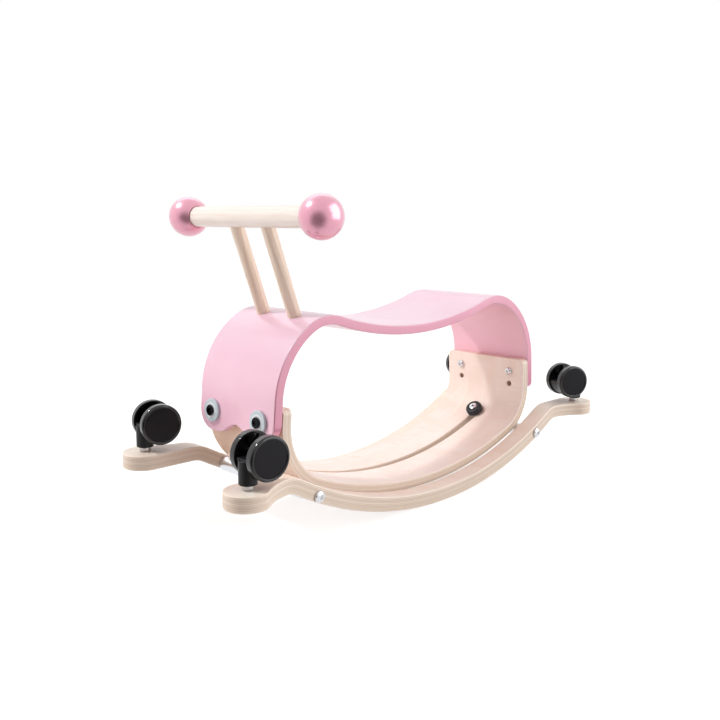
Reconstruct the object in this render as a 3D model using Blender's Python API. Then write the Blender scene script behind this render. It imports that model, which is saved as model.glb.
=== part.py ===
# Wooden balance rocker: two rocker rails, a saddle unit, a handlebar and four casters.
# Metres, +Z up. Front is -Y, width runs along X, the rails' lowest line is at z = 0.
# The origin is on the floor, midway between the rails and midway along them.

import math

import bmesh
import bpy
from mathutils import Matrix, Vector

MM = 0.001
GAP = 0.3 * MM

# Rocker rails
RAIL_HALF_LENGTH = 325 * MM
RAIL_THICKNESS = 17.2 * MM
RAIL_WIDTH = 24.5 * MM
RAIL_INNER_X = 71.5 * MM
ROCKER_RADIUS = 487.6 * MM
ROCKER_SLOPE = math.radians(29.2)
TIP_BEND_RADIUS = 37 * MM
PADDLE_RADIUS = 23.5 * MM
PADDLE_FILLET = 80 * MM

# Cradle, the natural ply bow under the seat
SEAT_Y = -1 * MM
CRADLE_THICKNESS = 12 * MM
CRADLE_HALF_WIDTH = 67 * MM
CRADLE_FLOOR_Z = 26.7 * MM
CRADLE_RADIUS = 480 * MM
CRADLE_HALF_ARC = 176 * MM
FRONT_BEND_RADIUS = 68.5 * MM
REAR_BEND_RADIUS = 52.5 * MM
FRONT_LEAN = math.radians(4.4)
REAR_LEAN = math.radians(4)
CRADLE_FRONT_TOP_Z = 145.5 * MM
CRADLE_REAR_TOP_Z = 149.3 * MM
CRADLE_CORNER = 7 * MM
SLOT_HALF_WIDTH = 5.1 * MM
SLOT_PAST_CLAMP = 6 * MM

# Saddle, the lacquered ply shell
SADDLE_THICKNESS = 11 * MM
SADDLE_HALF_WIDTH = 66.5 * MM
SADDLE_FRONT_Z = 107.3 * MM
SADDLE_REAR_Z = 107 * MM
SADDLE_FRONT_RISE = 47.7 * MM
BROW_RADIUS, BROW_TURN = 98.9 * MM, math.radians(57)
POMMEL_RADIUS, POMMEL_TURN = 54.5 * MM, math.radians(46)
DIP_TURN = math.radians(36)
HUMP_RADIUS, HUMP_TURN = 74.6 * MM, math.radians(45.4)
TAIL_RADIUS = 104.3 * MM
MOUTH_HALF_WIDTH = 31 * MM
MOUTH_HEIGHT = 12.5 * MM
LOBE_RADIUS = 24 * MM
TAIL_CORNER = 9 * MM

# Fasteners through the uprights
EYE_X = 41.5 * MM
EYE_Z = 130.1 * MM
EYE_RADIUS = 13 * MM
EYE_THICKNESS = 3.2 * MM
EYE_CHAMFER = 0.8 * MM
SEAT_SCREW_X = 42.9 * MM
SEAT_SCREW_Z = 131 * MM
SPARE_HOLE_DROP = 18.3 * MM
SPARE_HOLE_RADIUS = 3.7 * MM
SEAT_SCREW_BITE = 7 * MM

# Cross tubes, rail bolts and clamps
TUBE_RADIUS = 8.5 * MM
CONTACT_ANGLE = math.radians(38.5)
RAIL_BOLT_BITE = 22 * MM
KNOB_RADIUS = 11.8 * MM
KNOB_HEIGHT = 9.5 * MM
KNOB_POCKET = 3 * MM
KNOB_POCKET_RADIUS = 6.8 * MM
CLAMP_BITE = 12 * MM

# Screws: shank radii, then each head's radius, height, crown and key size
BOLT_RADIUS = 3.5 * MM
SCREW_RADIUS = 3 * MM
RAIL_BOLT_HEAD = (6.6 * MM, 4 * MM, 2.6 * MM, 5 * MM)
CLAMP_HEAD = (5.6 * MM, 4 * MM, 1.2 * MM, 4 * MM)
EYE_HEAD = (6.1 * MM, 2.6 * MM, 1 * MM, 5 * MM)
SEAT_HEAD = (5.5 * MM, 3.4 * MM, 2.4 * MM, 4 * MM)
SCREW_END_MARGIN = 1 * MM
BORE_TIP = 2 * MM

# Handlebar
BAR_Y = -221 * MM
BAR_Z = 344.3 * MM
BAR_RADIUS = 11.5 * MM
POST_X = 27 * MM
POST_RADIUS = 7.7 * MM
POST_LEAN = math.radians(20.3)
POST_BITE = 8 * MM
BALL_X = 114.3 * MM
BALL_RADIUS = 22.8 * MM
BAR_PAST_BALL_CENTRE = -6 * MM

# Casters
CASTER_INSET = 2 * MM
COLLAR_RADIUS = 6.4 * MM
COLLAR_HEIGHT = 4.8 * MM
STEM_RADIUS = 4 * MM
STEM_DEPTH = 12 * MM
STEM_RISE = 16 * MM
CASTER_TRAIL = 14 * MM
AXLE_HEIGHT = 31.5 * MM
WHEEL_RADIUS = 23.1 * MM
WHEEL_WIDTH = 9 * MM
WHEEL_RIM = 3 * MM
WHEEL_HOLLOW = 4 * MM
WHEEL_CAP_DROP = 0.9 * MM
WHEEL_SHOULDER = 3.4 * MM
CASTER_WIDTH = 39 * MM
AXLE_RADIUS = 2.5 * MM
AXLE_INSET = 2 * MM
HUB_RADIUS = 5.5 * MM
HUB_WALL = 1.5 * MM
BOSS_RADIUS = 9.6 * MM
HOUSING_RADIUS = 21 * MM
HOUSING_SHOULDER_DROP = 1.5 * MM
HOUSING_TO_WHEEL = 0.7 * MM
SWIVEL_DEG = {
    "front_left": -4,
    "front_right": -12,
    "rear_left": 180 - 25,
    "rear_right": 180 - 24,
}

ARC_STEP = math.radians(7.5)
BOW_STEP = math.radians(2.2)
OVERCUT = 20 * MM


# Materials

def material(name, colour, roughness, metallic=0.0):
    made = bpy.data.materials.new(name)
    made.use_nodes = True
    shader = made.node_tree.nodes["Principled BSDF"]
    shader.inputs["Base Color"].default_value = (*colour, 1)
    shader.inputs["Roughness"].default_value = roughness
    shader.inputs["Metallic"].default_value = metallic
    made.diffuse_color = (*colour, 1)
    return made


# Flat outlines and the bodies made from them

def arc(centre, radius, start, turn, step=ARC_STEP):
    """Points along a circle's arc in a plane, both ends included."""
    count = max(2, math.ceil(abs(turn) / step))
    return [
        (
            centre[0] + radius * math.cos(start + turn * i / count),
            centre[1] + radius * math.sin(start + turn * i / count),
        )
        for i in range(count + 1)
    ]


def route(start, heading, moves):
    """Points and left-hand normals along lines and tangent arcs in the YZ plane.

    A move is ("line", length) or ("arc", radius, turn, step); a positive turn goes left.
    """
    y, z = start
    points = [((y, z), heading)]
    for move in moves:
        if move[0] == "line":
            y += move[1] * math.cos(heading)
            z += move[1] * math.sin(heading)
            points.append(((y, z), heading))
            continue
        radius, turn, step = move[1:]
        side = math.copysign(1, turn)
        centre = (y - side * radius * math.sin(heading), z + side * radius * math.cos(heading))
        count = max(1, math.ceil(abs(turn) / step))
        for i in range(1, count + 1):
            now = heading + turn * i / count
            y = centre[0] + side * radius * math.sin(now)
            z = centre[1] - side * radius * math.cos(now)
            points.append(((y, z), now))
        heading += turn
    return points


def beside(points, distance):
    """The route's points moved to its left by a distance."""
    return [
        (y - distance * math.sin(heading), z + distance * math.cos(heading))
        for (y, z), heading in points
    ]


def band(points, right, left):
    """A closed outline between two offsets of one route."""
    return beside(points, -right) + beside(points, left)[::-1]


def prism(name, outline, axis, low, high):
    """A mesh made by extruding an outline along X, Y or Z from low to high.

    The outline's pairs are (y, z) for X, (x, z) for Y and (x, y) for Z.
    """
    mesh = bmesh.new()
    place = {
        "X": lambda a, b: (low, a, b),
        "Y": lambda a, b: (a, low, b),
        "Z": lambda a, b: (a, b, low),
    }[axis]
    face = mesh.faces.new([mesh.verts.new(place(a, b)) for a, b in outline])
    grown = bmesh.ops.extrude_face_region(mesh, geom=[face])
    moved = [item for item in grown["geom"] if isinstance(item, bmesh.types.BMVert)]
    along = {"X": (1, 0, 0), "Y": (0, 1, 0), "Z": (0, 0, 1)}[axis]
    bmesh.ops.translate(mesh, verts=moved, vec=Vector(along) * (high - low))
    bmesh.ops.recalc_face_normals(mesh, faces=mesh.faces)
    data = bpy.data.meshes.new(name)
    mesh.to_mesh(data)
    mesh.free()
    return data


def turned(name, profile, segments):
    """A mesh made by spinning a profile of (radius, z) pairs once round Z.

    A pair with radius 0 closes an end; a profile with none is a ring.
    """
    mesh = bmesh.new()
    ring = all(radius > 0 for radius, _ in profile)
    points = [mesh.verts.new((radius, 0, z)) for radius, z in profile]
    pairs = list(zip(points, points[1:] + points[:1] if ring else points[1:]))
    edges = [mesh.edges.new(pair) for pair in pairs]
    bmesh.ops.spin(
        mesh,
        geom=points + edges,
        axis=(0, 0, 1),
        cent=(0, 0, 0),
        angle=2 * math.pi,
        steps=segments,
        use_merge=True,
    )
    bmesh.ops.remove_doubles(mesh, verts=mesh.verts, dist=0.001 * MM)
    bmesh.ops.recalc_face_normals(mesh, faces=mesh.faces)
    data = bpy.data.meshes.new(name)
    mesh.to_mesh(data)
    mesh.free()
    return data


def pin(name, radius, low, high, segments=16):
    return turned(name, [(0, low), (radius, low), (radius, high), (0, high)], segments)


def hexagon(name, across, low, high):
    corner = across / 2 / math.cos(math.pi / 6)
    return pin(name, corner, low, high, 6)


def add(name, data, look, matrix=None, parent=None, smooth=30):
    """A named object, placed by its matrix in its parent's space."""
    data.shade_smooth()
    data.set_sharp_from_angle(angle=math.radians(smooth))
    if not data.materials:
        data.materials.append(look)
    item = bpy.data.objects.new(name, data)
    bpy.context.scene.collection.objects.link(item)
    item.parent = parent
    item.matrix_basis = matrix or Matrix()
    return item


def cutter(name, data, matrix=None):
    item = bpy.data.objects.new(name, data)
    bpy.context.scene.collection.objects.link(item)
    item.matrix_basis = matrix or Matrix()
    item.hide_render = True
    item.display_type = "WIRE"
    return item


def cut(item, tool, operation="DIFFERENCE"):
    step = item.modifiers.new(tool.name, "BOOLEAN")
    step.object = tool
    step.operation = operation
    step.solver = "EXACT"


def aimed(origin, direction):
    """A matrix that puts local +Z along a direction at an origin."""
    turn = Vector(direction).to_track_quat("Z", "Y").to_matrix().to_4x4()
    return Matrix.Translation(origin) @ turn


for leftover in list(bpy.data.objects):
    bpy.data.objects.remove(leftover)

BIRCH = material("birch_ply", (0.80, 0.64, 0.49), 0.5)
PINK = material("pink_lacquer", (0.86, 0.49, 0.60), 0.3)
DOWEL = material("beech_dowel", (0.62, 0.42, 0.29), 0.5)
ALUMINIUM = material("polished_aluminium", (0.78, 0.79, 0.80), 0.25, 1.0)
CHROME = material("chrome", (0.82, 0.82, 0.83), 0.1, 1.0)
BLACK = material("black_plastic", (0.02, 0.02, 0.022), 0.3)
BLACK_STEEL = material("black_steel", (0.015, 0.015, 0.016), 0.35, 0.6)
GREY = material("grey_washer", (0.56, 0.60, 0.61), 0.4)


# Cradle and tube positions

def cradle_side(bend_radius, lean, top_z):
    """One half of the cradle's inner face from the middle outwards, with +Y as outwards."""
    slope = math.asin(CRADLE_HALF_ARC / CRADLE_RADIUS)
    foot_z = CRADLE_FLOOR_Z + CRADLE_RADIUS * (1 - math.cos(slope))
    centre = (
        CRADLE_HALF_ARC - bend_radius * math.sin(slope),
        foot_z + bend_radius * math.cos(slope),
    )
    straight = (top_z - centre[1] - bend_radius * math.sin(lean)) / math.cos(lean)
    moves = [
        ("arc", CRADLE_RADIUS, slope, BOW_STEP),
        ("arc", bend_radius, math.pi / 2 + lean - slope, ARC_STEP),
        ("line", straight),
    ]
    return route((0, CRADLE_FLOOR_Z), 0, moves), centre


def contact_of(bend_radius, centre):
    """Tube centre under the bend, with +Y as outwards."""
    reach = bend_radius + CRADLE_THICKNESS + GAP + TUBE_RADIUS
    return (
        centre[0] + reach * math.sin(CONTACT_ANGLE),
        centre[1] - reach * math.cos(CONTACT_ANGLE),
    )


FRONT_SIDE, FRONT_CENTRE = cradle_side(FRONT_BEND_RADIUS, FRONT_LEAN, CRADLE_FRONT_TOP_Z)
REAR_SIDE, REAR_CENTRE = cradle_side(REAR_BEND_RADIUS, REAR_LEAN, CRADLE_REAR_TOP_Z)
ENDS = {
    "front": (-1, FRONT_CENTRE, FRONT_BEND_RADIUS),
    "rear": (1, REAR_CENTRE, REAR_BEND_RADIUS),
}
TUBE_CENTRES = {}
for end, (sign, centre, bend) in ENDS.items():
    out, up = contact_of(bend, centre)
    TUBE_CENTRES[end] = (SEAT_Y + sign * out, up)


# Rails

def rail_route():
    """The rail's middle line from the front tip to the rear tip, with one flat side of the
    bow centred on y = 0 and its underside at z = 0."""
    radius = ROCKER_RADIUS - RAIL_THICKNESS / 2
    flat_y = (radius + TIP_BEND_RADIUS) * math.sin(ROCKER_SLOPE)
    sides = 2 * math.ceil(ROCKER_SLOPE / BOW_STEP) + 1
    rise = radius * (1 - math.cos(ROCKER_SLOPE)) + TIP_BEND_RADIUS * (1 - math.cos(ROCKER_SLOPE))
    sink = ROCKER_RADIUS * (1 - math.cos(ROCKER_SLOPE / sides))
    moves = [
        ("line", RAIL_HALF_LENGTH - flat_y),
        ("arc", TIP_BEND_RADIUS, -ROCKER_SLOPE, ARC_STEP),
        ("arc", radius, 2 * ROCKER_SLOPE, 2 * ROCKER_SLOPE / sides * 1.001),
        ("arc", TIP_BEND_RADIUS, -ROCKER_SLOPE, ARC_STEP),
        ("line", RAIL_HALF_LENGTH - flat_y),
    ]
    return route((-RAIL_HALF_LENGTH, RAIL_THICKNESS / 2 + rise - sink), 0, moves)


RAIL_ROUTE = rail_route()
PADDLE_TOP = RAIL_ROUTE[-1][0][1] + RAIL_THICKNESS / 2
PADDLE_X = RAIL_INNER_X + PADDLE_RADIUS
PADDLE_Y = RAIL_HALF_LENGTH - PADDLE_RADIUS
STEM_Y = PADDLE_Y - CASTER_INSET
RAIL_OUTER_X = RAIL_INNER_X + RAIL_WIDTH


def rail_plan(side):
    """The rail seen from above: straight inner edge, round paddle ends, swept outer edge."""
    across = PADDLE_X - RAIL_OUTER_X
    span = PADDLE_RADIUS + PADDLE_FILLET
    fillet_x = RAIL_OUTER_X + PADDLE_FILLET
    drop = math.sqrt(span**2 - (PADDLE_FILLET - across) ** 2)
    fillet_y = PADDLE_Y - drop
    sweep = math.atan2(drop, PADDLE_FILLET - across)
    swept = arc((fillet_x, fillet_y), PADDLE_FILLET, math.pi, -sweep, math.radians(7))
    round_end = arc((PADDLE_X, PADDLE_Y), PADDLE_RADIUS, -sweep, math.pi + sweep, math.radians(12))
    quarter = swept + round_end[1:]
    outline = quarter + [(x, -y) for x, y in quarter[::-1]]
    return [(side * x, y) for x, y in outline]


def make_rail(name, side):
    lows = sorted((side * (RAIL_INNER_X - 10 * MM), side * (PADDLE_X + 2 * PADDLE_RADIUS)))
    half = RAIL_THICKNESS / 2
    data = prism(name, band(RAIL_ROUTE, half, half), "X", lows[0], lows[1])
    item = add(name, data, BIRCH)
    plan = prism(name + "_plan", rail_plan(side), "Z", -OVERCUT, PADDLE_TOP + OVERCUT)
    cut(item, cutter(name + "_plan", plan), "INTERSECT")
    for end, (y, z) in TUBE_CENTRES.items():
        bore = pin(name + "_bore", BOLT_RADIUS + GAP, -OVERCUT, RAIL_WIDTH + OVERCUT)
        place = aimed((side * RAIL_INNER_X, y, z), (side, 0, 0))
        cut(item, cutter(f"{name}_{end}_bore", bore, place))
    for end, sign in (("front", -1), ("rear", 1)):
        socket = pin(name + "_socket", STEM_RADIUS + GAP, -STEM_DEPTH - GAP, OVERCUT)
        place = Matrix.Translation((side * PADDLE_X, sign * STEM_Y, PADDLE_TOP))
        cut(item, cutter(f"{name}_{end}_socket", socket, place))
    return item


# Screws with a domed head and a hexagon socket

def screw_mesh(name, head, shank_radius, shank_length):
    """A screw with its head's underside at z = 0, its shank down and its socket on top."""
    head_radius, head_height, crown, key = head
    dome = [
        (head_radius * math.cos(a), head_height - crown * (1 - math.sin(a)))
        for a in (0, math.pi / 4)
    ]
    profile = [(0, -shank_length), (shank_radius, -shank_length), (shank_radius, 0)]
    profile += [(head_radius, 0)] + dome + [(0, head_height)]
    data = turned(name, profile, 16)
    blank = bpy.data.objects.new(name + "_blank", data)
    bpy.context.scene.collection.objects.link(blank)
    tool = cutter(name + "_key", hexagon(name + "_key", key, head_height / 2, OVERCUT))
    cut(blank, tool)
    bpy.context.view_layer.update()
    graph = bpy.context.evaluated_depsgraph_get()
    made = bpy.data.meshes.new_from_object(blank.evaluated_get(graph), depsgraph=graph)
    bpy.data.objects.remove(blank)
    bpy.data.objects.remove(tool)
    return made


rails = {"left": make_rail("rail_left", 1), "right": make_rail("rail_right", -1)}
bolt = screw_mesh("rail_bolt", RAIL_BOLT_HEAD, BOLT_RADIUS, RAIL_WIDTH + RAIL_BOLT_BITE)
for end, (y, z) in TUBE_CENTRES.items():
    for side_name, side in (("left", 1), ("right", -1)):
        seat = (side * (RAIL_OUTER_X + GAP), y, z)
        add(f"rail_bolt_{end}_{side_name}", bolt, CHROME, aimed(seat, (side, 0, 0)))


# Cross tubes, clamp knobs and clamp screws

def clamp_axis(end):
    """Tube centre and the unit direction from it to the cradle's bend centre."""
    sign, centre, _ = ENDS[end]
    start = Vector((0, *TUBE_CENTRES[end]))
    finish = Vector((0, SEAT_Y + sign * centre[0], centre[1]))
    return start, (finish - start).normalized()


knob_seat = {}
for end, (sign, centre, bend) in ENDS.items():
    knob_seat[end] = math.sqrt(bend**2 - KNOB_RADIUS**2) - GAP

for end in ENDS:
    y, z = TUBE_CENTRES[end]
    half = RAIL_INNER_X - GAP
    tube = add(
        f"cross_tube_{end}",
        pin("cross_tube", TUBE_RADIUS, -half, half, 28),
        ALUMINIUM,
        aimed((0, y, z), (1, 0, 0)),
    )
    for side in (-1, 1):
        bore = pin("tube_bore", BOLT_RADIUS + GAP, -RAIL_BOLT_BITE - BORE_TIP, OVERCUT)
        place = aimed((side * half, y, z), (side, 0, 0))
        cut(tube, cutter(f"tube_{end}_bore_{side}", bore, place))
    start, up = clamp_axis(end)
    hole = pin("tube_tap", SCREW_RADIUS + GAP, TUBE_RADIUS - CLAMP_BITE, TUBE_RADIUS + OVERCUT)
    cut(tube, cutter(f"tube_{end}_tap", hole, aimed(start, up)))

    bend = ENDS[end][2]
    base = bend + CRADLE_THICKNESS + GAP + TUBE_RADIUS - knob_seat[end]
    pocket_z = KNOB_HEIGHT - KNOB_POCKET
    knob_profile = [
        (SCREW_RADIUS + GAP, 0),
        (KNOB_RADIUS - 1 * MM, 0),
        (KNOB_RADIUS, 1 * MM),
        (KNOB_RADIUS, KNOB_HEIGHT - 2.5 * MM),
        (KNOB_RADIUS - 2 * MM, KNOB_HEIGHT),
        (KNOB_POCKET_RADIUS, KNOB_HEIGHT),
        (KNOB_POCKET_RADIUS, pocket_z),
        (SCREW_RADIUS + GAP, pocket_z),
    ]
    knob = turned("clamp_knob", knob_profile, 24)
    add(f"clamp_knob_{end}", knob, BLACK, aimed(start + up * base, up))
    head_z = base + pocket_z + GAP
    shank = head_z - (TUBE_RADIUS - CLAMP_BITE + GAP)
    screw = screw_mesh("clamp_screw", CLAMP_HEAD, SCREW_RADIUS, shank)
    add(f"clamp_screw_{end}", screw, CHROME, aimed(start + up * head_z, up))


# Cradle

def both_sides():
    """The cradle's inner face from the front top to the rear top."""
    front = [((SEAT_Y - y, z), -heading) for (y, z), heading in FRONT_SIDE[:0:-1]]
    rear = [((SEAT_Y + y, z), heading) for (y, z), heading in REAR_SIDE]
    return front + rear


def upright_plane(end):
    """A point on the cradle upright's inner face at its top, its outward normal and its up."""
    sign = ENDS[end][0]
    (y, z), heading = (FRONT_SIDE if end == "front" else REAR_SIDE)[-1]
    normal = Vector((0, sign * math.sin(heading), -math.cos(heading)))
    up = Vector((0, sign * math.cos(heading), math.sin(heading)))
    return Vector((0, SEAT_Y + sign * y, z)), normal, up


def on_upright(end, x, z, depth):
    """A point at a height, a depth outwards from the upright's inner face, and the normal."""
    top, normal, up = upright_plane(end)
    point = top + normal * depth
    point += up * ((z - point.z) / up.z)
    return Vector((x, point.y, point.z)), normal


EYE_DEPTH = CRADLE_THICKNESS + GAP + SADDLE_THICKNESS + GAP


cradle = add(
    "cradle",
    prism("cradle", band(both_sides(), CRADLE_THICKNESS, 0), "X", -CRADLE_HALF_WIDTH, CRADLE_HALF_WIDTH),
    BIRCH,
)


def slot_route():
    """The cradle's inner face between the two clamps, each with a little more."""
    sides = []
    for end in ENDS:
        _, _, bend = ENDS[end]
        slope = math.asin(CRADLE_HALF_ARC / CRADLE_RADIUS)
        turn = CONTACT_ANGLE + SLOT_PAST_CLAMP / bend - slope
        moves = [
            ("arc", CRADLE_RADIUS, slope, BOW_STEP),
            ("arc", bend, turn, ARC_STEP),
        ]
        sides.append(route((0, CRADLE_FLOOR_Z), 0, moves))
    front = [((SEAT_Y - y, z), -heading) for (y, z), heading in sides[0][:0:-1]]
    rear = [((SEAT_Y + y, z), heading) for (y, z), heading in sides[1]]
    return front + rear


slot = prism(
    "cradle_slot",
    band(slot_route(), CRADLE_THICKNESS + 4 * MM, 4 * MM),
    "X",
    -SLOT_HALF_WIDTH,
    SLOT_HALF_WIDTH,
)
cut(cradle, cutter("cradle_slot", slot))


def corner_tools(name, half_width, radius, height, middle_y, up):
    """Cutters outside the two rounded corners of an upright's end; up is 1 at a top end."""
    for side in (-1, 1):
        x = side * half_width
        centre = (x - side * radius, height - up * radius)
        start = math.pi / 2 * (1 - side)
        rim = arc(centre, radius, start, side * up * math.pi / 2, math.radians(18))
        out_x = x + side * OVERCUT
        out_z = height + up * OVERCUT
        far = [(centre[0], out_z), (out_x, out_z), (out_x, centre[1])]
        solid = prism(name, rim + far, "Y", middle_y - 2 * OVERCUT, middle_y + 2 * OVERCUT)
        yield cutter(f"{name}_{side}", solid)


for end in ENDS:
    top = upright_plane(end)[0]
    for tool in corner_tools(f"cradle_corner_{end}", CRADLE_HALF_WIDTH, CRADLE_CORNER, top.z, top.y, 1):
        cut(cradle, tool)

for side in (-1, 1):
    place, normal = on_upright("front", side * EYE_X, EYE_Z, EYE_DEPTH)
    hole = pin("eye_hole", SCREW_RADIUS + GAP, -3 * OVERCUT, OVERCUT)
    cut(cradle, cutter(f"cradle_eye_hole_{side}", hole, aimed(place, normal)))
    place, normal = on_upright("rear", side * SEAT_SCREW_X, SEAT_SCREW_Z, 0)
    hole = pin("seat_hole", SCREW_RADIUS + GAP, -OVERCUT, 3 * OVERCUT)
    cut(cradle, cutter(f"cradle_seat_hole_{side}", hole, aimed(place, normal)))
    place, normal = on_upright("rear", side * SEAT_SCREW_X, SEAT_SCREW_Z - SPARE_HOLE_DROP, 0)
    hole = pin("spare_hole", SPARE_HOLE_RADIUS, -OVERCUT, 3 * OVERCUT)
    cut(cradle, cutter(f"cradle_spare_hole_{side}", hole, aimed(place, normal)))


# Saddle

def saddle_route():
    """The saddle's outer face from the front foot over the seat to the rear foot."""
    reach = CRADLE_THICKNESS + GAP + SADDLE_THICKNESS
    start, _ = on_upright("front", 0, SADDLE_FRONT_Z, reach)
    finish, _ = on_upright("rear", 0, SADDLE_REAR_Z, reach)
    heading = math.pi / 2 - FRONT_LEAN
    tail_turn = math.pi - FRONT_LEAN - REAR_LEAN - BROW_TURN - POMMEL_TURN + DIP_TURN - HUMP_TURN

    def moves(dip_radius, last):
        return [
            ("line", SADDLE_FRONT_RISE),
            ("arc", BROW_RADIUS, -BROW_TURN, ARC_STEP),
            ("arc", POMMEL_RADIUS, -POMMEL_TURN, ARC_STEP),
            ("arc", dip_radius, DIP_TURN, math.radians(3.5)),
            ("arc", HUMP_RADIUS, -HUMP_TURN, ARC_STEP),
            ("arc", TAIL_RADIUS, -tail_turn, ARC_STEP),
            ("line", last),
        ]

    def miss(dip_radius):
        """How far the end lies outside the rear foot's plane."""
        (y, z), end_heading = route((start.y, start.z), heading, moves(dip_radius, 0))[-1]
        across = (-math.sin(end_heading), math.cos(end_heading))
        return (y - finish.y) * across[0] + (z - finish.z) * across[1]

    one, two = 0.3, 0.5
    dip_radius = one - miss(one) * (two - one) / (miss(two) - miss(one))
    (_, z), end_heading = route((start.y, start.z), heading, moves(dip_radius, 0))[-1]
    last = (z - SADDLE_REAR_Z) / -math.sin(end_heading)
    return route((start.y, start.z), heading, moves(dip_radius, last))


SADDLE_ROUTE = saddle_route()
saddle = add(
    "saddle",
    prism("saddle", band(SADDLE_ROUTE, SADDLE_THICKNESS, 0), "X", -SADDLE_HALF_WIDTH, SADDLE_HALF_WIDTH),
    PINK,
)


def foot_outline():
    """The part below the saddle's front edge: two round lobes with an arch between them."""
    low = SADDLE_FRONT_Z - OVERCUT
    corner_x = SADDLE_HALF_WIDTH - LOBE_RADIUS
    lobe = arc((corner_x, SADDLE_FRONT_Z + LOBE_RADIUS), LOBE_RADIUS, 0, -math.pi / 2, math.radians(15))
    steps = 8
    arch = []
    for i in range(1, 2 * steps):
        x = MOUTH_HALF_WIDTH * (1 - i / steps)
        arch.append((x, SADDLE_FRONT_Z + MOUTH_HEIGHT * (1 + math.cos(math.pi * x / MOUTH_HALF_WIDTH)) / 2))
    start = [(MOUTH_HALF_WIDTH, SADDLE_FRONT_Z)]
    finish = [(-MOUTH_HALF_WIDTH, SADDLE_FRONT_Z)]
    other = [(-x, z) for x, z in lobe[::-1]]
    wide = SADDLE_HALF_WIDTH + OVERCUT
    side_z = SADDLE_FRONT_Z + LOBE_RADIUS
    outside = [(-wide, side_z), (-wide, low), (wide, low), (wide, side_z)]
    return lobe + start + arch + finish + other + outside


foot_y = SADDLE_ROUTE[0][0][0]
foot_tool = prism("saddle_foot", foot_outline(), "Y", foot_y - OVERCUT, foot_y + 2 * OVERCUT)
cut(saddle, cutter("saddle_foot", foot_tool))
tail_y = SADDLE_ROUTE[-1][0][0]
for tool in corner_tools("saddle_tail", SADDLE_HALF_WIDTH, TAIL_CORNER, SADDLE_REAR_Z, tail_y, -1):
    cut(saddle, tool)


# Eyes and rear seat screws

washer = turned(
    "eye_washer",
    [
        (SCREW_RADIUS + GAP, 0),
        (EYE_RADIUS, 0),
        (EYE_RADIUS, EYE_THICKNESS - EYE_CHAMFER),
        (EYE_RADIUS - EYE_CHAMFER, EYE_THICKNESS),
        (SCREW_RADIUS + GAP, EYE_THICKNESS),
    ],
    28,
)
eye_shank = EYE_THICKNESS + GAP + EYE_DEPTH - SCREW_END_MARGIN
eye_screw = screw_mesh("eye_screw", EYE_HEAD, SCREW_RADIUS, eye_shank)
seat_shank = CRADLE_THICKNESS + 2 * GAP + SEAT_SCREW_BITE
seat_screw = screw_mesh("seat_screw", SEAT_HEAD, SCREW_RADIUS, seat_shank)
for side_name, side in (("left", 1), ("right", -1)):
    place, normal = on_upright("front", side * EYE_X, EYE_Z, EYE_DEPTH)
    add(f"eye_washer_{side_name}", washer, GREY, aimed(place, normal))
    place += normal * (EYE_THICKNESS + GAP)
    add(f"eye_screw_{side_name}", eye_screw, BLACK_STEEL, aimed(place, normal))
    hole = pin("eye_hole", SCREW_RADIUS + GAP, -3 * OVERCUT, OVERCUT)
    cut(saddle, cutter(f"saddle_eye_hole_{side_name}", hole, aimed(place, normal)))
    place, normal = on_upright("rear", side * SEAT_SCREW_X, SEAT_SCREW_Z, 0)
    add(f"seat_screw_{side_name}", seat_screw, CHROME, aimed(place - normal * GAP, -normal))
    place += normal * (CRADLE_THICKNESS + GAP)
    hole = pin("seat_tap", SCREW_RADIUS + GAP, -OVERCUT, SEAT_SCREW_BITE + GAP)
    cut(saddle, cutter(f"saddle_seat_tap_{side_name}", hole, aimed(place, normal)))


# Handlebar, posts and balls

def post_foot():
    """Where the post's axis, run down from the bar, crosses the saddle's outer face."""
    down = Vector((0, math.sin(POST_LEAN), -math.cos(POST_LEAN)))
    bar = Vector((0, BAR_Y, BAR_Z))
    for (first, _), (second, _) in zip(SADDLE_ROUTE, SADDLE_ROUTE[1:]):
        a, b = Vector((0, *first)), Vector((0, *second))
        edge = b - a
        spread = down.y * -edge.z + down.z * edge.y
        if abs(spread) < 1e-12:
            continue
        gap = a - bar
        along = (gap.y * -edge.z + gap.z * edge.y) / spread
        share = (down.y * gap.z - down.z * gap.y) / spread
        if 0 <= share <= 1 and along > 0:
            return bar + down * along, down, along
    raise ValueError("the posts miss the saddle")


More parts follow.
